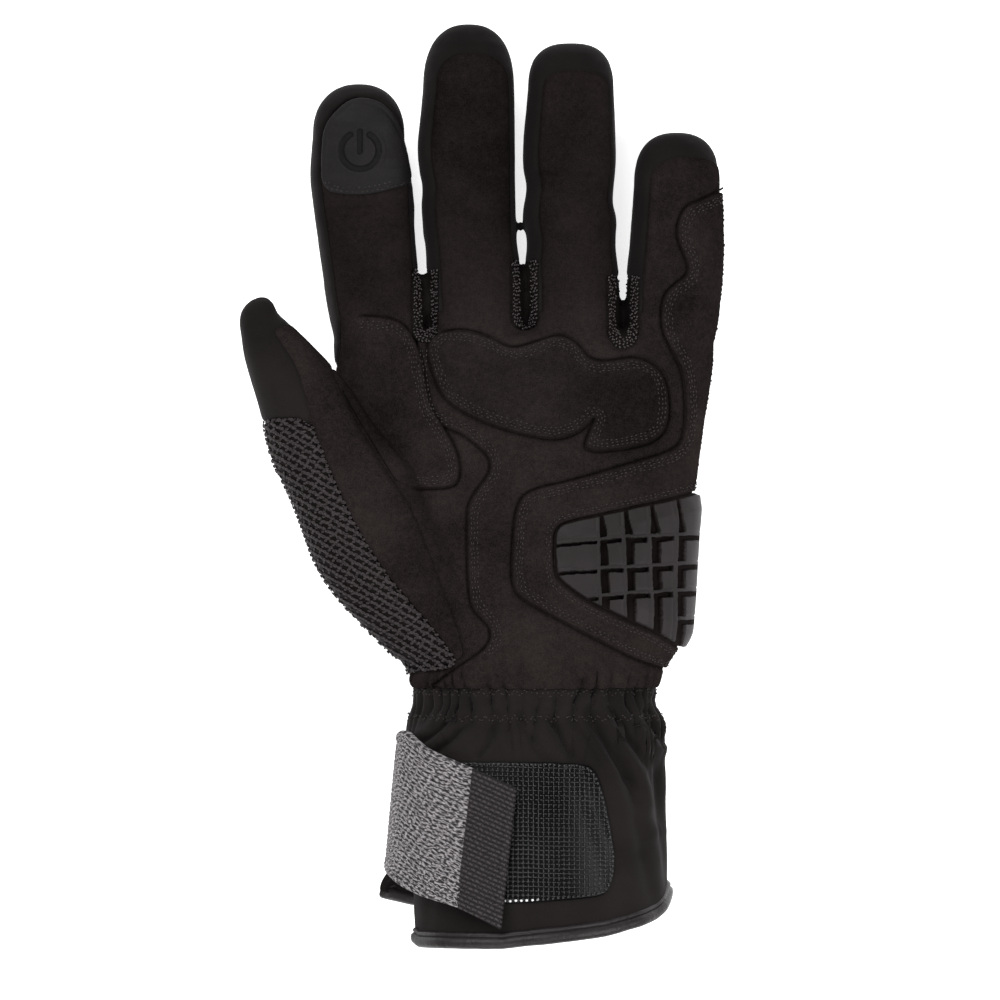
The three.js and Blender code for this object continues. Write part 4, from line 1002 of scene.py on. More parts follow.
class Line:
    """Runs of edges on a cloth where a value has one level, lifted off it."""

    def __init__(self, cloth, name, level, lift=0.0, keep=None):
        whole, _, pairs = cloth.cut(cloth.values[name], level)
        normals = whole.normals()
        if keep is not None:
            middle = (whole.points[pairs[:, 0]] + whole.points[pairs[:, 1]]) / 2
            pairs = pairs[keep(middle)]
        used, place = np.unique(pairs, return_inverse=True)
        self.points = whole.points[used] + normals[used] * lift
        self.out = normals[used]
        self.edges = place.reshape(-1, 2)

    def grains(self, pitch, size, turn=0.0, material="thread", uneven=0.0):
        return grains_along(self.points, self.edges, self.out, pitch, size, turn, material, uneven)


STITCH = dict(pitch=1.5, size=(0.8, 0.42, 0.36), uneven=0.26)
ROWS = (1.2, 2.1, 3.0)
thread_runs = []


def stitched(cloth, rows=ROWS, lift=0.0, keep=None, name="edge"):
    """Rows of stitches at distances from the edge."""
    for row in rows:
        line = Line(cloth, name, row, lift, keep)
        if len(line.edges):
            thread_runs.append(line.grains(**STITCH))


# The glove's skin with its folds

skin = fused_skin()
skin = skin.part(skin.points[skin.triangles][:, :, 1].min(1) > SKIN_END).largest()
normal = skin.normals()
angle = round_angle(skin.points[:, 0], skin.points[:, 2], **WRIST, squareness=HAND_SQUARENESS)
gathered = smoothstep(-50, -60, skin.points[:, 1])
on_top = 0.15 + 0.85 * smoothstep(0.1, 0.6, np.abs(normal[:, 2]))
uneven = 0.4 * billows(skin.points, 9.0, 1) + 0.6 * billows(skin.points, 22.0, 2)
across_fingers = billows(skin.points * (0.22, 1.0, 0.3), 2.6, 6)
uneven += smoothstep(30, 50, skin.points[:, 1]) * 0.3 * across_fingers + 0.12 * billows(skin.points, 3.5, 8)
relief = folds_at(skin.points, normal) + on_top * uneven
relief += gathered * 2.1 * pleats_at(angle, skin.points[:, 1])
skin = skin.moved(relief)
skin.points[:, 2] = np.maximum(skin.points[:, 2], 0.1)
wavy_seam = skin.points[:, 1] - SEAM_Y + 0.5 * pleats_at(angle, skin.points[:, 1])
skin, above_wrist, _ = skin.cut(wavy_seam)
skin = skin.part(above_wrist)


def middle_height(points):
    """Height half way between palm and back at each point of the hand and fingers."""
    x, y = points[:, 0], points[:, 1]
    hand = np.interp(-y, -HAND["y"], (HAND["back"] + HAND["palm"]) / 2)
    result = hand
    for (low, high), name in zip([(-99, -17.5), (-17.5, 13), (13, 42), (42, 99)], FINGERS):
        rows = FINGERS[name]["rows"]
        finger = np.interp(y, rows["y"], (rows["back"] + rows["palm"]) / 2)
        share = smoothstep(43, 50, y)
        result = np.where((x >= low) & (x < high), mix(hand, finger, share), result)
    return result


def thumb_height(points):
    """Height half way between the thumb's two faces, along its slanting axis."""
    rows = THUMB["rows"]
    centre = np.stack([rows["left_x"] + rows["right_x"], rows["left_y"] + rows["right_y"]], 1) / 2
    axis = centre[-1] - centre[0]
    axis /= np.linalg.norm(axis)
    return np.interp(points[:, :2] @ axis, centre @ axis, (rows["back"] + rows["palm"]) / 2)


def finger_panel(points, name):
    """Distance inside the palm panel's outline on one finger."""
    rows = finer(FINGERS[name]["rows"], 30)
    left, right, tip = FINGER_SEAM[name]
    keep = rows["y"] > 44
    xs, ys = [], []
    last = rows["y"][-1]
    top = FINGERS[name]["tip"][0] - tip
    for k in range(1, 12):
        a = math.pi * k / 12
        middle = (rows["left"][-1] + left + rows["right"][-1] - right) / 2
        half = (rows["right"][-1] - right - rows["left"][-1] - left) / 2
        xs.append(middle + half * power(math.cos(a), 2 / FINGERS[name]["roundness"]))
        ys.append(last + (top - last) * math.sin(a) ** (2 / FINGERS[name]["roundness"]))
    right_side = np.stack([rows["right"][keep] - right, rows["y"][keep]], 1)
    left_side = np.stack([rows["left"][keep] + left, rows["y"][keep]], 1)[::-1]
    foot = [(left_side[-1, 0], 38.0), (right_side[0, 0], 38.0)]
    outline = np.concatenate([foot, right_side, np.stack([xs, ys], 1), left_side])
    return inside(points, outline)


def gusset_outline(left, right, bottom, top):
    radius = (right - left) / 2
    arc = [(left + radius + radius * math.cos(a), bottom + radius + radius * math.sin(a))
           for a in np.linspace(math.pi, 2 * math.pi, 13)]
    return np.array(arc + [(right, top), (left, top)])


# Knit of the thumb and of the three crotches

def ribbed(piece, rib, slope_deg):
    """Open knit: fat loops along each rib, and bridges from rib to rib with dark holes between."""
    slope = math.radians(slope_deg)
    piece.values["rib"] = piece.points[:, 1] * math.cos(slope) + piece.points[:, 0] * math.sin(slope)
    low, high = piece.values["rib"].min(), piece.values["rib"].max()
    made = []
    for k in np.arange(math.ceil(low / rib * 2), math.floor(high / rib * 2) + 1):
        if k % 2 == 0:
            line = Line(piece, "rib", k * rib / 2, 0.05)
            made.append(line.grains(1.35, (1.9, 1.15, 0.6), 0.35, "knit_yarn", 0.16))
        else:
            line = Line(piece, "rib", k * rib / 2, -0.05)
            made.append(line.grains(2.7, (1.4, 0.9, 0.5), 0.9, "knit_yarn", 0.25))
    return made


knit_field = np.minimum(inside(skin.points, rounded(THUMB_KNIT, 1)),
                        skin.points[:, 2] - thumb_height(skin.points) + KNIT_WRAP)
thumb_knit, rest = taken(skin, knit_field)
edge = thumb_knit.values["edge"]
points, faces = thumb_knit.wall(seam_dip(edge, 0.9, 1.0) - 0.2, -WALL)
add_piece("thumb_knit_panel", points, faces, "knit_ground", ["thumb_knit_panel"])
inner = thumb_knit.cut(edge, 0.5)
inner = inner[0].part(inner[1])
loops = ribbed(inner, 1.95, 30)
line = Line(thumb_knit, "edge", 0.5, 0.15, lambda p: p[:, 0] > -64.5)
loops.append(line.grains(1.0, (0.9, 0.5, 0.45), 0.5, "gusset_yarn", 0.3))
points, faces = joined(loops)
add_piece("thumb_knit_loops", points, faces, "knit_yarn")

for name, (left, right, bottom, top) in GUSSETS.items():
    field = np.minimum(inside(rest.points, gusset_outline(left, right, bottom, top)),
                       rest.points[:, 2] - GUSSET_LOW)
    gusset, rest = taken(rest, field, refine=1)
    edge = gusset.values["edge"]
    points, faces = gusset.wall(seam_dip(edge, 0.5, 0.6) - 0.15, -WALL)
    add_piece("knit_gusset_" + name, points, faces, "knit_ground", ["knit_gusset_" + name])
    gusset.values["from_side"] = gusset.from_edge(top - 1.5)
    loops = []
    for i, row in enumerate((0.5, 1.35, 2.3, 3.1)):
        line = Line(gusset, "from_side", row, lift=0.1)
        if len(line.edges):
            loops.append(line.grains(1.15, (0.85, 0.45, 0.5), 0.9 if i % 2 else -0.9, "gusset_yarn", 0.3))
    points, faces = joined(loops)
    add_piece("knit_loops_" + name, points, faces, "gusset_yarn")

# Suede of the thumb and of the palm

thumb_field = np.minimum(inside(rest.points, rounded(THUMB_PALM, 1)),
                         rest.points[:, 2] - thumb_height(rest.points) + PALM_WRAP)
thumb_palm, rest = taken(rest, thumb_field)
points, faces = thumb_palm.wall(seam_dip(thumb_palm.values["edge"], 0.35, 0.6), -WALL)
add_piece("thumb_palm_panel", points, faces, "suede", ["thumb_palm_panel"])

palm_field = inside(rest.points, rounded(PALM, 1))
for name in FINGERS:
    palm_field = np.maximum(palm_field, finger_panel(rest.points, name))
above_middle = rest.points[:, 2] - middle_height(rest.points)
in_crease = smoothstep(-20, -28, rest.points[:, 0]) * smoothstep(48, 40, rest.points[:, 1])
in_crease = np.minimum(above_middle + 14 * in_crease, 12 * (rest.normals()[:, 2] + 0.15))
palm_field = np.minimum(palm_field, np.maximum(above_middle, in_crease))
palm, back = taken(rest, palm_field)
palm.values["layer"] = inside(palm.points, rounded(PALM_LAYER, 2))
palm = palm.ringed("layer", (-1.0, -0.5, -0.2, 0.1, 0.6))


def free_of_fold(points):
    """0 along the fold between thumb and palm, where the patch in the crotch lies flush, else 1."""
    return smoothstep(2.5, 6.5, to_line(points, CROTCH_FOLD))


def lines_round(cloth, outlines):
    """Extra corners along outlines. Returns the cloth, and 1 in a narrow line just outside each."""
    for name, outline in outlines.items():
        field = inside(cloth.points, rounded(outline, 2))
        cloth.values[name] = np.where(cloth.points[:, 2] > PATCH_LOW, field, -9.0)
    for name in outlines:
        cloth = cloth.ringed(name, (-0.9, -0.4, 0.1))
    lines = {name: np.exp(-((cloth.values[name] + 0.4) / 0.5) ** 2) for name in outlines}
    if "crotch" in lines:
        lines["crotch"] *= free_of_fold(cloth.points)
    return cloth, np.minimum(sum(lines.values()), 1)


palm, lines = lines_round(palm, dict(pad=KNUCKLE_PAD, crotch=CROTCH_PATCH, heel=HEEL_PATCH))
layer = palm.values["layer"]
contour = np.exp(-((layer + 0.3) / 0.4) ** 2)
step = 0.55 * smoothstep(-0.15, 0.5, layer) - 0.45 * smoothstep(3, 14, layer) - 0.7 * contour
# painted shade: the palm side's fingers darker, less so on the little finger, and the lines round patches
# and the layer's contour darker
finger_shade = smoothstep(38, 60, palm.points[:, 1]) * (1 - 0.7 * smoothstep(40, 47, palm.points[:, 0]))
points, faces = palm.wall(seam_dip(palm.values["edge"]) + step - 0.75 * lines, -WALL)
add_piece("palm_panel", points, faces, "suede", ["palm_panel"],
          painted_shade=np.maximum(0.35 * finger_shade, 0.5 * np.maximum(lines, contour)))
stitched(palm, ROWS, 0.6, lambda p: (p[:, 1] < 40) & (p[:, 1] > -50), "layer")

back = back.largest()
back.values["edge"] = back.from_edge()
back = back.ringed("edge", EDGE_RINGS)
back, lines = lines_round(back, dict(tip=TOUCH_PATCH))
points, faces = back.wall(seam_dip(back.values["edge"], 0.5, 0.7) - 0.7 * lines, -WALL)
# painted shade: the back's finger bands darker, and the groove round the touch patch darker
finger_shade = smoothstep(50, 65, back.points[:, 1]) * smoothstep(-60, -54, back.points[:, 0])
add_piece("back_panel", points, faces, "softshell",
          ["back_panel", "thumb_back_panel"] + [name + "_finger_back" for name in FINGERS],
          painted_shade=np.maximum(0.4 * finger_shade, 0.75 * lines))

# Patches sewn on the palm side

LIFT = 0.05


def sewn_on(name, outline, low, thick, material, rows=ROWS, crown=0.0, window=None, flush=None):
    """A patch of suede or leather on the palm, with a rolled edge and rows of stitches in shallow grooves.
    """
    field = np.minimum(inside(skin.points, rounded(outline, 2)), skin.points[:, 2] - low)
    if window is not None:
        field = np.minimum(field, -inside(skin.points, rounded(window, 1)) - 0.45)
    patch, _ = taken(skin, field, refine=1)
    edge = patch.values["edge"]
    height = rolled_edge(edge, thick) + crown * smoothstep(3.6, 11, edge)
    for row in rows:
        height = height + groove(edge, row, 0.55, 0.28)
    if flush is not None:
        height = height * (0.15 + 0.85 * flush(patch.points))
    points, faces = patch.wall(LIFT + height, LIFT)
    piece = add_piece(name, points, faces, material, [name])
    return patch, piece


pad, pad_piece = sewn_on("knuckle_pad", KNUCKLE_PAD, PATCH_LOW, 1.0, "pad_suede", crown=1.0)
stitched(pad, ROWS, 0.82)
crotch, _ = sewn_on("thumb_crotch_patch", CROTCH_PATCH, PATCH_LOW, 0.9, "suede",
                    flush=free_of_fold)
stitched(crotch, ROWS, 0.72, lambda p: free_of_fold(p) > 0.9)
heel, _ = sewn_on("heel_patch", HEEL_PATCH, PATCH_LOW, 1.0, "suede", window=SLIDER)
stitched(heel, ROWS[:2], 0.82)
stitched(heel, ROWS[2:], 0.82, lambda p: inside(p, rounded(SLIDER, 1)) < -7)


# The fingertip patch with its round sign

SIGN = dict(x=-36.8, y=100.1, outer=6.3, inner=4.65, gap_deg=31, bar=1.4, bar_top=5.7, bar_bottom=-0.4)


def sign_distance(points):
    """Distance to the strokes of the sign: an open ring, and a bar in its gap."""
    x, y = points[:, 0] - SIGN["x"], points[:, 1] - SIGN["y"]
    middle = (SIGN["outer"] + SIGN["inner"]) / 2
    half = (SIGN["outer"] - SIGN["inner"]) / 2
    gap = math.radians(SIGN["gap_deg"])
    radius = np.hypot(x, y)
    away = np.abs(np.arctan2(x, y))
    end = np.hypot(np.abs(x) - middle * math.sin(gap), y - middle * math.cos(gap))
    ring = np.where(away > gap, np.abs(radius - middle), end) - half
    bar = np.hypot(x, y - np.clip(y, SIGN["bar_bottom"], SIGN["bar_top"])) - SIGN["bar"] / 2
    return np.minimum(ring, bar)


tip_field = inside(skin.points, rounded(TOUCH_PATCH, 2))
touch, _ = taken(skin, np.minimum(tip_field, skin.points[:, 2] - PATCH_LOW), refine=2)
touch.values["sign"] = sign_distance(touch.points)
touch = touch.ringed("sign", (-0.3, 0.0, 0.3))
edge, sign = touch.values["edge"], touch.values["sign"]
debossed = smoothstep(0.25, -0.25, sign)
height = rolled_edge(edge, 0.7, 0.6) - 0.5 * debossed + 0.12 * np.exp(-((sign - 0.7) / 0.5) ** 2)
height = height + groove(edge, 1.6, 0.5, 0.15)
points, faces = touch.wall(LIFT + height, LIFT)
# painted shade: the debossed sign darkened
add_piece("touch_patch", points, faces, "touch_leather", ["touch_patch"],
          painted_shade=0.9 * debossed)
stitched(touch, (0.9, 2.2), 0.78, lambda p: p[:, 1] < 90.5)

# The slider: a moulded plate with tread blocks

SLIDER_COLUMNS = table(
    "top_x bottom_x slot",
    (34.4, 35.6, 2.1), (41.9, 42.9, 2.1), (49.2, 50.0, 2.2), (56.8, 55.6, 1.8))
SLIDER_ROWS = table("left_y right_y", (-18.2, -14.7), (-26.9, -23.5), (-35.0, -31.4), (-44.6, -39.6))
COLUMN_TOP, COLUMN_BOTTOM = 0.0, -50.0
ROW_LEFT, ROW_RIGHT = 21.0, 64.3
PLATE = 1.0
BLOCK = 2.4
LAST_ROW_FROM = 55.0
RIB = 1.2


def slot_at(past, width):
    """1 in a slot that begins at 0 and has that width."""
    return smoothstep(-0.12, 0.12, past) * smoothstep(width + 0.12, width - 0.12, past)


def tread(points, edge, facing):
    """Height of the tread, and 1 in its slots and along the plate's rim, where shade is painted. The slots
    run out
    """
    x, y = points[:, 0], points[:, 1]
    down = (y - COLUMN_TOP) / (COLUMN_BOTTOM - COLUMN_TOP)
    across = (x - ROW_LEFT) / (ROW_RIGHT - ROW_LEFT)
    first_row = mix(SLIDER_ROWS["left_y"][0], SLIDER_ROWS["right_y"][0], across)
    narrow = np.where(y > first_row, 0.5 + 0.5 * smoothstep(8, 0, y - first_row), 1.0)
    slots = dict(column=np.zeros(len(points)), row=np.zeros(len(points)))
    ribs = dict(column=np.zeros(len(points)), row=np.zeros(len(points)))
    notches = np.zeros(len(points))
    for top_x, bottom_x, slot in zip(*SLIDER_COLUMNS.values()):
        past = x - mix(top_x, bottom_x, down)
        slots["column"] = np.maximum(slots["column"], slot_at(past, slot * narrow))
        ribs["column"] = np.maximum(ribs["column"], slot_at(past + RIB, RIB))
        notches = np.maximum(notches, 0.16 * np.exp(-((past + RIB) / 0.3) ** 2))
    for i, (left_y, right_y) in enumerate(zip(*SLIDER_ROWS.values())):
        past = mix(left_y, right_y, across) - y
        reaches = smoothstep(LAST_ROW_FROM, LAST_ROW_FROM + 1.5, x) if i == 3 else 1.0
        slot = 0.8 + 0.6 * smoothstep(10, 30, x - ROW_LEFT)
        slots["row"] = np.maximum(slots["row"], slot_at(past, slot) * reaches)
        ribs["row"] = np.maximum(ribs["row"], slot_at(past + RIB, RIB) * reaches)
        notches = np.maximum(notches, 0.16 * np.exp(-((past + RIB) / 0.3) ** 2) * reaches)
    dark = np.maximum(slots["column"] * (1 - ribs["row"]), slots["row"] * (1 - ribs["column"]))
    facet = np.clip(edge / 4.5, 0, 1)
    block = np.maximum(BLOCK - notches - 1.1 * (1 - facet), 0)
    inside_frame = smoothstep(0.1, 0.55, edge)
    depth = dark * (1 - np.exp(-(facing / 0.35) ** 2)) * mix(1.0, 0.7, smoothstep(54, 56, x))
    # the second value is painted shade: slots, and the rim where the plate meets the heel patch
    return PLATE + block * (1 - depth) * inside_frame, np.maximum(dark, 0.9 * (1 - inside_frame))


slider_field = np.minimum(inside(skin.points, rounded(SLIDER, 1)), skin.points[:, 2] - SLIDER_LOW)
slider, _ = taken(skin, slider_field, refine=2)
edge = slider.values["edge"]
height, painted_shade = tread(slider.points, edge, slider.normals()[:, 2])
points, faces = slider.wall(LIFT + height * smoothstep(0, 0.15, edge + 0.1), LIFT)
# painted shade in the slots: darker rubber, and the dark slot finish on faces deep in it
add_piece("palm_slider", points, faces, "slider_rubber", ["palm_slider"], painted_shade=painted_shade,
          shade_finish="slot_shade")


# Cuff

def hem_fall(deg):
    return np.interp(np.mod(deg, 360), HEM_FALL["deg"], HEM_FALL["fall"])


def turned_from(deg, at):
    """Signed turn from one angle to another, within half a turn."""
    return np.mod(deg - at + 180, 360) - 180


def cuff_points(at, deg, grow=0.0, relief=True, flare_out=None):
    """Points of the cuff's outside: at counts in rows of the table, deg is the angle round it."""
    row = {name: through(column, at) for name, column in CUFF.items()}
    share = (row["y"] - CUFF["y"][1]) / (CUFF["y"][-1] - CUFF["y"][1])
    folds = 0
    for i in range(len(CREASES["depth"])):
        centre = mix(CREASES["start_deg"][i], CREASES["end_deg"][i], share)
        away = turned_from(deg, centre) / CREASES["spread_deg"][i]
        folds = folds + CREASES["depth"][i] * np.exp(-away ** 2)
    flare = FLARE["out"] if flare_out is None else flare_out
    flare = flare * np.exp(-(turned_from(deg, FLARE["deg"]) / FLARE["spread_deg"]) ** 2)
    flare = flare * smoothstep(-FLARE["top_y"], -FLARE["bottom_y"], -row["y"])
    out = grow + flare
    if relief:
        under_strap = smoothstep(66, 72, -row["y"]) * np.exp(-(turned_from(deg, 145) / 38) ** 2)
        gather = 2.4 * row["gather"] * (1 - 0.8 * under_strap)
        out = out + gather * pleats_at(np.radians(deg), row["y"]) - row["crease"] * folds * 0.8
    t = np.radians(deg)
    palm_side = np.sin(t) > 0
    exponent = np.where(palm_side, 2 / CUFF_SQUARENESS["palm"], 2 / CUFF_SQUARENESS["back"])
    half_width, half_height = (row["right"] - row["left"]) / 2, (row["palm"] - row["back"]) / 2
    x = (row["left"] + row["right"]) / 2 + (half_width + out) * power(np.cos(t), exponent)
    z = (row["back"] + row["palm"]) / 2 + (half_height + out) * power(np.sin(t), exponent)
    y = row["y"] - row["fall"] * hem_fall(deg)
    return np.stack([x, y, np.maximum(z, np.maximum(row["floor"] - grow, 0.1))], 1)


def cuff_grid(around, along, grow=0.0):
    """The cuff's outside as a cloth, closed all round."""
    deg = np.arange(around) / around * 360
    at = np.linspace(0, len(CUFF["y"]) - 1, along)
    all_at, all_deg = (a.ravel() for a in np.meshgrid(at, deg, indexing="ij"))
    points = cuff_points(all_at, all_deg, grow)
    j = np.arange(around)
    k = (j + 1) % around
    quads = np.concatenate([np.stack([i * around + j, i * around + k, (i + 1) * around + k,
                                      (i + 1) * around + j], 1) for i in range(along - 1)])
    triangles = np.concatenate([quads[:, [0, 1, 2]], quads[:, [0, 2, 3]]])
    cloth = Cloth(points, triangles, {"deg": all_deg, "at": all_at})
    if (cloth.normals()[:, 0] * (points[:, 0] - CUFF_MIDDLE[0])).sum() < 0:
        cloth.triangles = triangles[:, ::-1]
    return cloth


cuff = cuff_grid(400, 120)
normal = cuff.normals()
relief = folds_at(cuff.points, normal) + 0.5 * billows(cuff.points, 16.0, 3)
relief = relief + 0.2 * billows(cuff.points, 6.0, 4)
relief *= smoothstep(0.2, 1.2, cuff.values["at"])
calm = 1 - smoothstep(1.5, 6.0, inside(cuff.points, rounded(HOOK_PATCH, 2)) + 4) * (normal[:, 2] > 0)
cuff = cuff.moved(relief * calm)
cuff.points[:, 2] = np.maximum(cuff.points[:, 2], 0.1)
opening = SLIT["half_deg"] * (SLIT["top_y"] - cuff.points[:, 1]) / (SLIT["top_y"] - CUFF["y"][-1])
slit_field = np.abs(turned_from(cuff.values["deg"], SLIT["deg"])) - opening
slit_field = np.where(cuff.points[:, 1] > SLIT["top_y"] + 4, 5.0, slit_field)
whole_cuff, side, _ = cuff.cut(slit_field)
slit_cuff = whole_cuff.part(side)
slit_cuff.values["edge"] = slit_cuff.from_edge()
points, faces = slit_cuff.wall(seam_dip(slit_cuff.values["edge"], 0.3, 0.6), -CUFF_WALL)
add_piece("gauntlet_cuff", points, faces, "softshell", ["gauntlet_cuff"])

# The hook field: a glossy plate with a grid of small moulded hooks

hook_field = np.where(cuff.normals()[:, 2] > 0, inside(cuff.points, rounded(HOOK_PATCH, 2)), -5)
hook, _ = taken(cuff, hook_field)
HOOK_PITCH = dict(across=1.5, along=1.35)
edge = hook.values["edge"]
points, faces = hook.wall(LIFT + rolled_edge(edge, 0.6, 0.4), LIFT)
add_piece("hook_patch", points, faces, "hook_base", ["hook_patch"])
hook.values["x"] = hook.points[:, 0]
hook.values["y"] = hook.points[:, 1] + 0.03 * hook.points[:, 0]
inner = hook.cut(edge, 1.0)
inner = inner[0].part(inner[1])
wires = []
for name, pitch, step, thick in [("x", HOOK_PITCH["across"], HOOK_PITCH["along"], 0.52),
                                 ("y", HOOK_PITCH["along"], HOOK_PITCH["across"], 0.42)]:
    values = inner.values[name]
    for k in range(math.ceil(values.min() / pitch), math.floor(values.max() / pitch) + 1):
        line = Line(inner, name, k * pitch, 0.7)
        if len(line.edges):
            wires.append(line.grains(step, (1.15 * step, thick, 0.6), 0.0, "hook_plastic", 0.05))
points, faces = joined(wires)
add_piece("hook_grid", points, faces, "hook_plastic")


def in_the_light(points):
    """The few border hooks painted bright as highlights."""
    return (points[:, 1] < -120) & (points[:, 0] > 6.5) & (points[:, 0] < 16.5)


for name, finish, chosen in [("hook_beads", "hook_plastic", lambda p: ~in_the_light(p)),
                             ("painted_highlight_hooks", "painted_highlight", in_the_light)]:
    line = Line(hook, "edge", 0.8, 0.95, chosen)
    points, faces = joined([line.grains(HOOK_PITCH["across"], (0.95, 0.8, 0.6), 0.0, finish, 0.05)])
    add_piece(name, points, faces, finish)

# Zigzag stitching on the two lines of the elastic

cuff.values["y"] = cuff.points[:, 1]


def zigzag(cloth, y, half, step, lift):
    """A run of edges that swings about a line round the wrist."""
    line = Line(cloth, "y", y, lift)
    order = np.argsort(np.arctan2(line.points[:, 2] - ELASTIC_HEIGHT, line.points[:, 0] - CUFF_MIDDLE[0]))
    ring, out = line.points[order], line.out[order]
    length = np.concatenate([[0], np.cumsum(np.linalg.norm(np.diff(ring, axis=0), axis=1))])
    at = np.arange(0, length[-1], step)
    points = np.stack([np.interp(at, length, ring[:, i]) for i in range(3)], 1)
    normals = np.stack([np.interp(at, length, out[:, i]) for i in range(3)], 1)
    points[:, 1] += np.where(np.arange(len(at)) % 2 == 0, half, -half)
    edges = np.stack([np.arange(len(at) - 1), np.arange(1, len(at))], 1)
    return grains_along(points, edges, normals, 1.3, STITCH["size"], 0.0, "thread", 0.2)


for row_y in ELASTIC_ROWS:
    thread_runs.append(zigzag(cuff, row_y, half=1.0, step=1.6, lift=0.15))
points, faces = joined(thread_runs)
add_piece("seam_stitching", points, faces, "thread")

# Binding round the hem, from one flap of the slit to the other

BIND = dict(above=3.2, below=1.9, out=1.5, from_deg=-167.0, to_deg=165.0, steps=620, sides=28)


def hem_binding():
    """A soft leather fold over the hem: a flattened tube that follows it, with small creases."""
    steps, sides = BIND["steps"], BIND["sides"]
    deg = np.linspace(BIND["from_deg"], BIND["to_deg"], steps)
    last = np.full(steps, len(CUFF["y"]) - 1.0)
    hem = cuff_points(last, deg)
    above = cuff_points(last - 0.25, deg)
    outer = cuff_points(last, deg, 1.0)
    upwards = above - hem
    upwards /= np.linalg.norm(upwards, axis=1, keepdims=True)
    outwards = outer - hem
    outwards /= np.maximum(np.linalg.norm(outwards, axis=1, keepdims=True), TINY)
    hem = hem - outwards * CUFF_WALL / 2
    t = np.arange(sides) / sides * 2 * math.pi
    rings = []
    ends = 0.55 + 0.45 * smoothstep(0, 2.0, np.minimum(deg - deg[0], deg[-1] - deg)) ** 0.5
    for i in range(steps):
        wrinkle = ends[i] + 0.06 * noise.noise(Vector((deg[i] * 0.11, 3.1, 0)))
        fine = np.array([0.035 * noise.noise(Vector((deg[i] * 0.5, 1.1 * a, 7.0))) for a in np.sin(t)])
        across = (CUFF_WALL / 2 + BIND["out"]) * power(np.cos(t), 0.8) * (wrinkle + fine)
        rise = np.where(np.sin(t) > 0, BIND["above"], BIND["below"]) * power(np.sin(t), 0.8)
        notch = 1 - 0.4 * np.exp(-((rise - 1.7) / 0.45) ** 2)
        sideways = outwards[i] * (across * notch)[:, None]
        rings.append(hem[i] + sideways + upwards[i] * (rise * wrinkle)[:, None])
    rings = np.array(rings)
    faces = ring_faces(steps, sides)
    return rings.reshape(-1, 3), faces


points, faces = hem_binding()
quads = np.array(faces[:-2])
sides = BIND["sides"]
cap_start = len(points)
ends = np.array([points[:sides].mean(0), points[-sides:].mean(0)])
points = np.concatenate([points, ends])
j = np.arange(sides)
k = (j + 1) % sides
first_cap = np.stack([np.full(sides, cap_start), k, j], 1)
last_cap = np.stack([np.full(sides, cap_start + 1), cap_start - sides + j, cap_start - sides + k], 1)
faces = np.concatenate([quads[:, [0, 1, 2]], quads[:, [0, 2, 3]], first_cap, last_cap])
add_piece("hem_binding", points, faces, "binding_leather", ["hem_binding"])

# Strap round the thumb's side, and its pull tab

STRAP_ROWS = table(
    "upper_deg upper_y upper_out lower_deg lower_y lower_out",
    (207, -73.0, 0.8, 207, -106.0, 2.6), (194, -75.0, 1.2, 194, -110.5, 7.0),
    (180, -75.4, 2.0, 180, -115.0, 8.2), (160, -73.4, 2.9, 162, -118.2, 7.6),
    (138, -78.4, 3.8, 143, -122.0, 6.0), (114, -84.4, 4.0, 122, -125.6, 5.0),
    (97.5, -89.9, 4.0, 104, -131.8, 4.2))
STRAP_THICK = 1.7
STRAP_GRID = dict(along=230, tab_along=60, across=170)
TAB_ROWS = (4.96, 6)  # the tab begins just before the strap's last row, so that no gap shows


def strap_edge(side, at):
    """One edge of the strap in space, at places that count in its rows."""
    rows = STRAP_ROWS
    points = []
    for i in range(len(rows["upper_deg"])):
        y = rows[side + "_y"][i]
        on_cuff = np.interp(-y, -CUFF["y"], np.arange(len(CUFF["y"])))
        points.append(cuff_points(np.array([on_cuff]), np.array([rows[side + "_deg"][i]]),
                                  rows[side + "_out"][i], False, 0.0)[0])
        points[-1][1] = y
    return through(np.array(points), at)


def band(from_row, to_row, along, across, relief):
    """A closed band between the strap's two edges, with relief on its faces and UV in millimetres."""
    at = np.linspace(from_row, to_row, along)
    upper, lower = strap_edge("upper", at), strap_edge("lower", at)
    v = np.linspace(0, 1, across)
    points = mix(upper[:, None], lower[:, None], v[None, :, None]).reshape(-1, 3)
    i, j = np.meshgrid(np.arange(along - 1), np.arange(across - 1), indexing="ij")
    a = (i * across + j).ravel()
    quads = np.stack([a, a + 1, a + across + 1, a + across], 1)
    triangles = np.concatenate([quads[:, [0, 1, 2]], quads[:, [0, 2, 3]]])
    cloth = Cloth(points, triangles)
    if cloth.normals()[len(points) // 2] @ (points[len(points) // 2] - CUFF_MIDDLE) < 0:
        cloth.triangles = triangles[:, ::-1]
    middle = mix(upper, lower, 0.5)
    length = np.concatenate([[0], np.cumsum(np.linalg.norm(np.diff(middle, axis=0), axis=1))])
    width = np.linalg.norm(upper - lower, axis=1)
    u = np.repeat(length, across)
    w = (width[:, None] * v[None, :]).ravel()
    total = np.repeat(width, across)
    from_side = np.minimum(w, total - w)
    top = relief(u, w, from_side, length[-1])
    top = top - 0.5 * (1 - np.sqrt(1 - (1 - np.clip(from_side / 0.8, 0, 1)) ** 2))
    shell_points, shell_faces = cloth.wall(top, -STRAP_THICK)
    uv = np.tile(np.stack([u, w], 1), (2, 1))
    return shell_points, shell_faces, uv


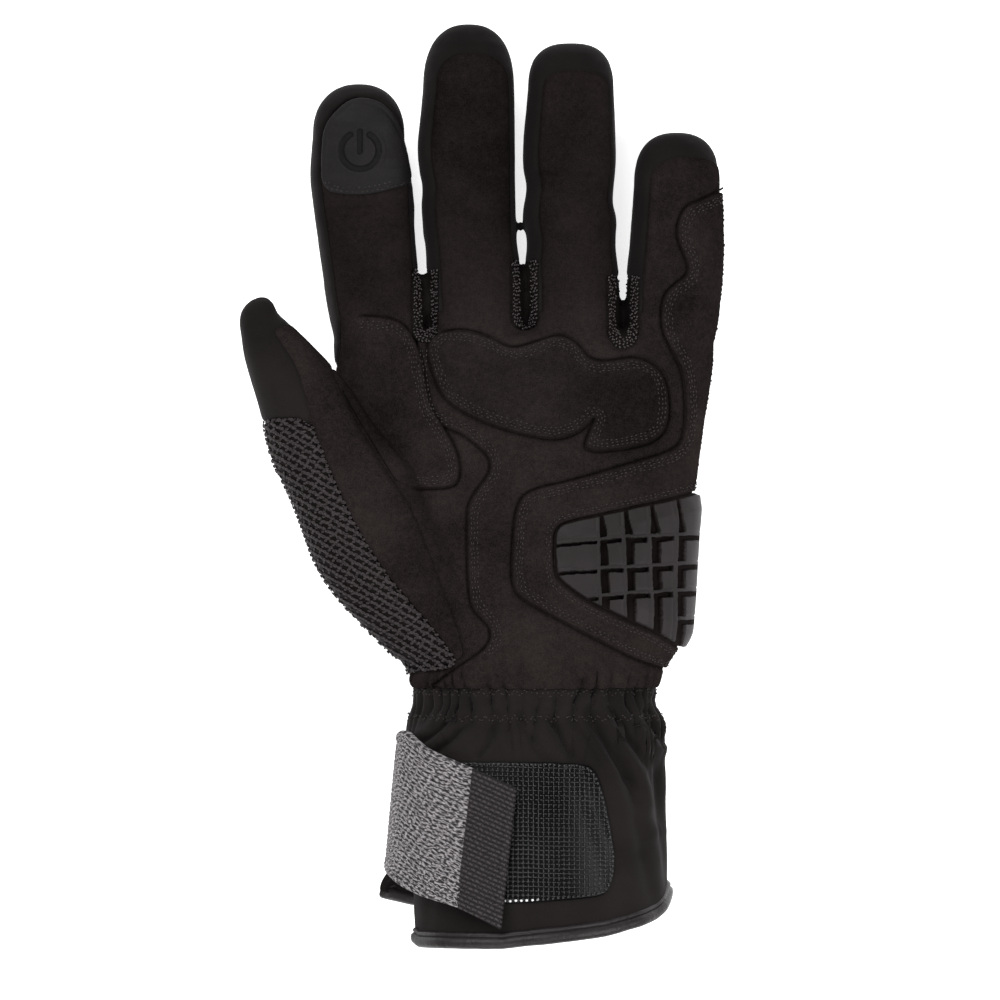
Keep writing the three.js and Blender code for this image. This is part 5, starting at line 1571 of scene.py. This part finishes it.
def webbing_relief(u, w, from_side, length):
    """Rows of stitches along the strap, with a rolled edge on both sides and a slow sag."""
    rows = -0.12 * np.cos(w * 2 * math.pi / WEB_ROW)
    behind = np.round(w / WEB_ROW) * WEB_STEP["shift"] * 2 * math.pi
    knots = 0.08 * np.cos(u * 2 * math.pi / WEB_STEP["long"] + behind)
    roll = 0.3 * np.exp(-((from_side - 0.9) / 0.6) ** 2) - 0.15 * np.exp(-((from_side - 2.2) / 0.4) ** 2)
    return rows + knots + roll + 0.5 * np.sin(u / 14 + w / 17)


def weave_relief(u, w, from_side, length):
    """Short stitches in staggered rows, and a folded end."""
    row = np.round(w / WEB_ROW)
    along = np.abs(np.cos((u / WEAVE_STEP["long"] + WEAVE_STEP["shift"] * (row % 2)) * math.pi))
    across = np.abs(np.cos(w / WEB_ROW * math.pi))
    end = smoothstep(2.6, 2.2, length - u)
    return 0.28 * (along * across) ** 0.6 * (1 - end) + 0.5 * end


points, faces, uv = band(0, 5, STRAP_GRID["along"], STRAP_GRID["across"], webbing_relief)
add_piece("strap", points, faces, "melange_webbing", ["strap"], uv)
points, faces, uv = band(*TAB_ROWS, STRAP_GRID["tab_along"], STRAP_GRID["across"], weave_relief)
add_piece("strap_tab", points, faces, "basket_weave", ["strap_tab"], uv)

# The loose end of the piping at the little finger

nub = np.array([(71.0, 88.5, 24.2), (71.4, 88.7, 24.5), (71.8, 89.0, 24.8)])
line = through(nub, np.linspace(0, 2, 5))
edges = np.stack([np.arange(4), np.arange(1, 5)], 1)
made = grains_along(line, edges, np.tile((0.0, 0.0, 1.0), (5, 1)), 0.25, (0.6, 0.7, 0.7), 0.0, "suede")
points, faces = joined([made])
add_piece("piping_end", points, faces, "suede")


# Studio

def studio():
    world = bpy.data.worlds.new("studio") if bpy.context.scene.world is None else bpy.context.scene.world
    bpy.context.scene.world = world
    world.use_nodes = True
    world.node_tree.nodes["Background"].inputs["Color"].default_value = (1, 1, 1, 1)
    world.node_tree.nodes["Background"].inputs["Strength"].default_value = 0.42
    bpy.ops.mesh.primitive_plane_add(size=6, location=(0, 0, 0))
    floor = bpy.context.object
    floor.name = "floor"
    paper = Finish("white_paper", 0.9, specular=0.2)
    fibres = paper.noise(paper.place, 300, 3)
    paper.colour(fibres, (240, 240, 240), (246, 246, 246))
    paper.shader.inputs["Emission Color"].default_value = (1, 1, 1, 1)
    paper.shader.inputs["Emission Strength"].default_value = 0.75
    floor.data.materials.append(paper.material)
    lamps = table("x y z size power", (-0.5, 0.75, 0.9, 0.8, 14.0), (0.7, -0.2, 0.9, 0.7, 11.0),
                  (-0.25, -0.75, 0.7, 0.5, 5.5))
    for i in range(len(lamps["x"])):
        data = bpy.data.lights.new(f"softbox_{i}", "AREA")
        data.size = lamps["size"][i]
        data.energy = lamps["power"][i]
        lamp = bpy.data.objects.new(f"softbox_{i}", data)
        lamp.location = (lamps["x"][i], lamps["y"][i], lamps["z"][i])
        lamp.rotation_euler = Vector(-lamp.location).to_track_quat("-Z", "Y").to_euler()
        bpy.context.scene.collection.objects.link(lamp)


def camera():
    """Straight down from far away, so that the view is nearly without perspective."""
    field, distance, sensor = 0.300, 3.0, 36.0
    glove_height = 0.022
    data = bpy.data.cameras.new("camera")
    data.sensor_width = sensor
    data.lens = sensor * distance / field
    eye = bpy.data.objects.new("camera", data)
    eye.location = (0.00505, -0.0045, glove_height + distance)
    bpy.context.scene.collection.objects.link(eye)
    bpy.context.scene.camera = eye


studio()
camera()
bpy.context.scene.view_settings.view_transform = "Standard"
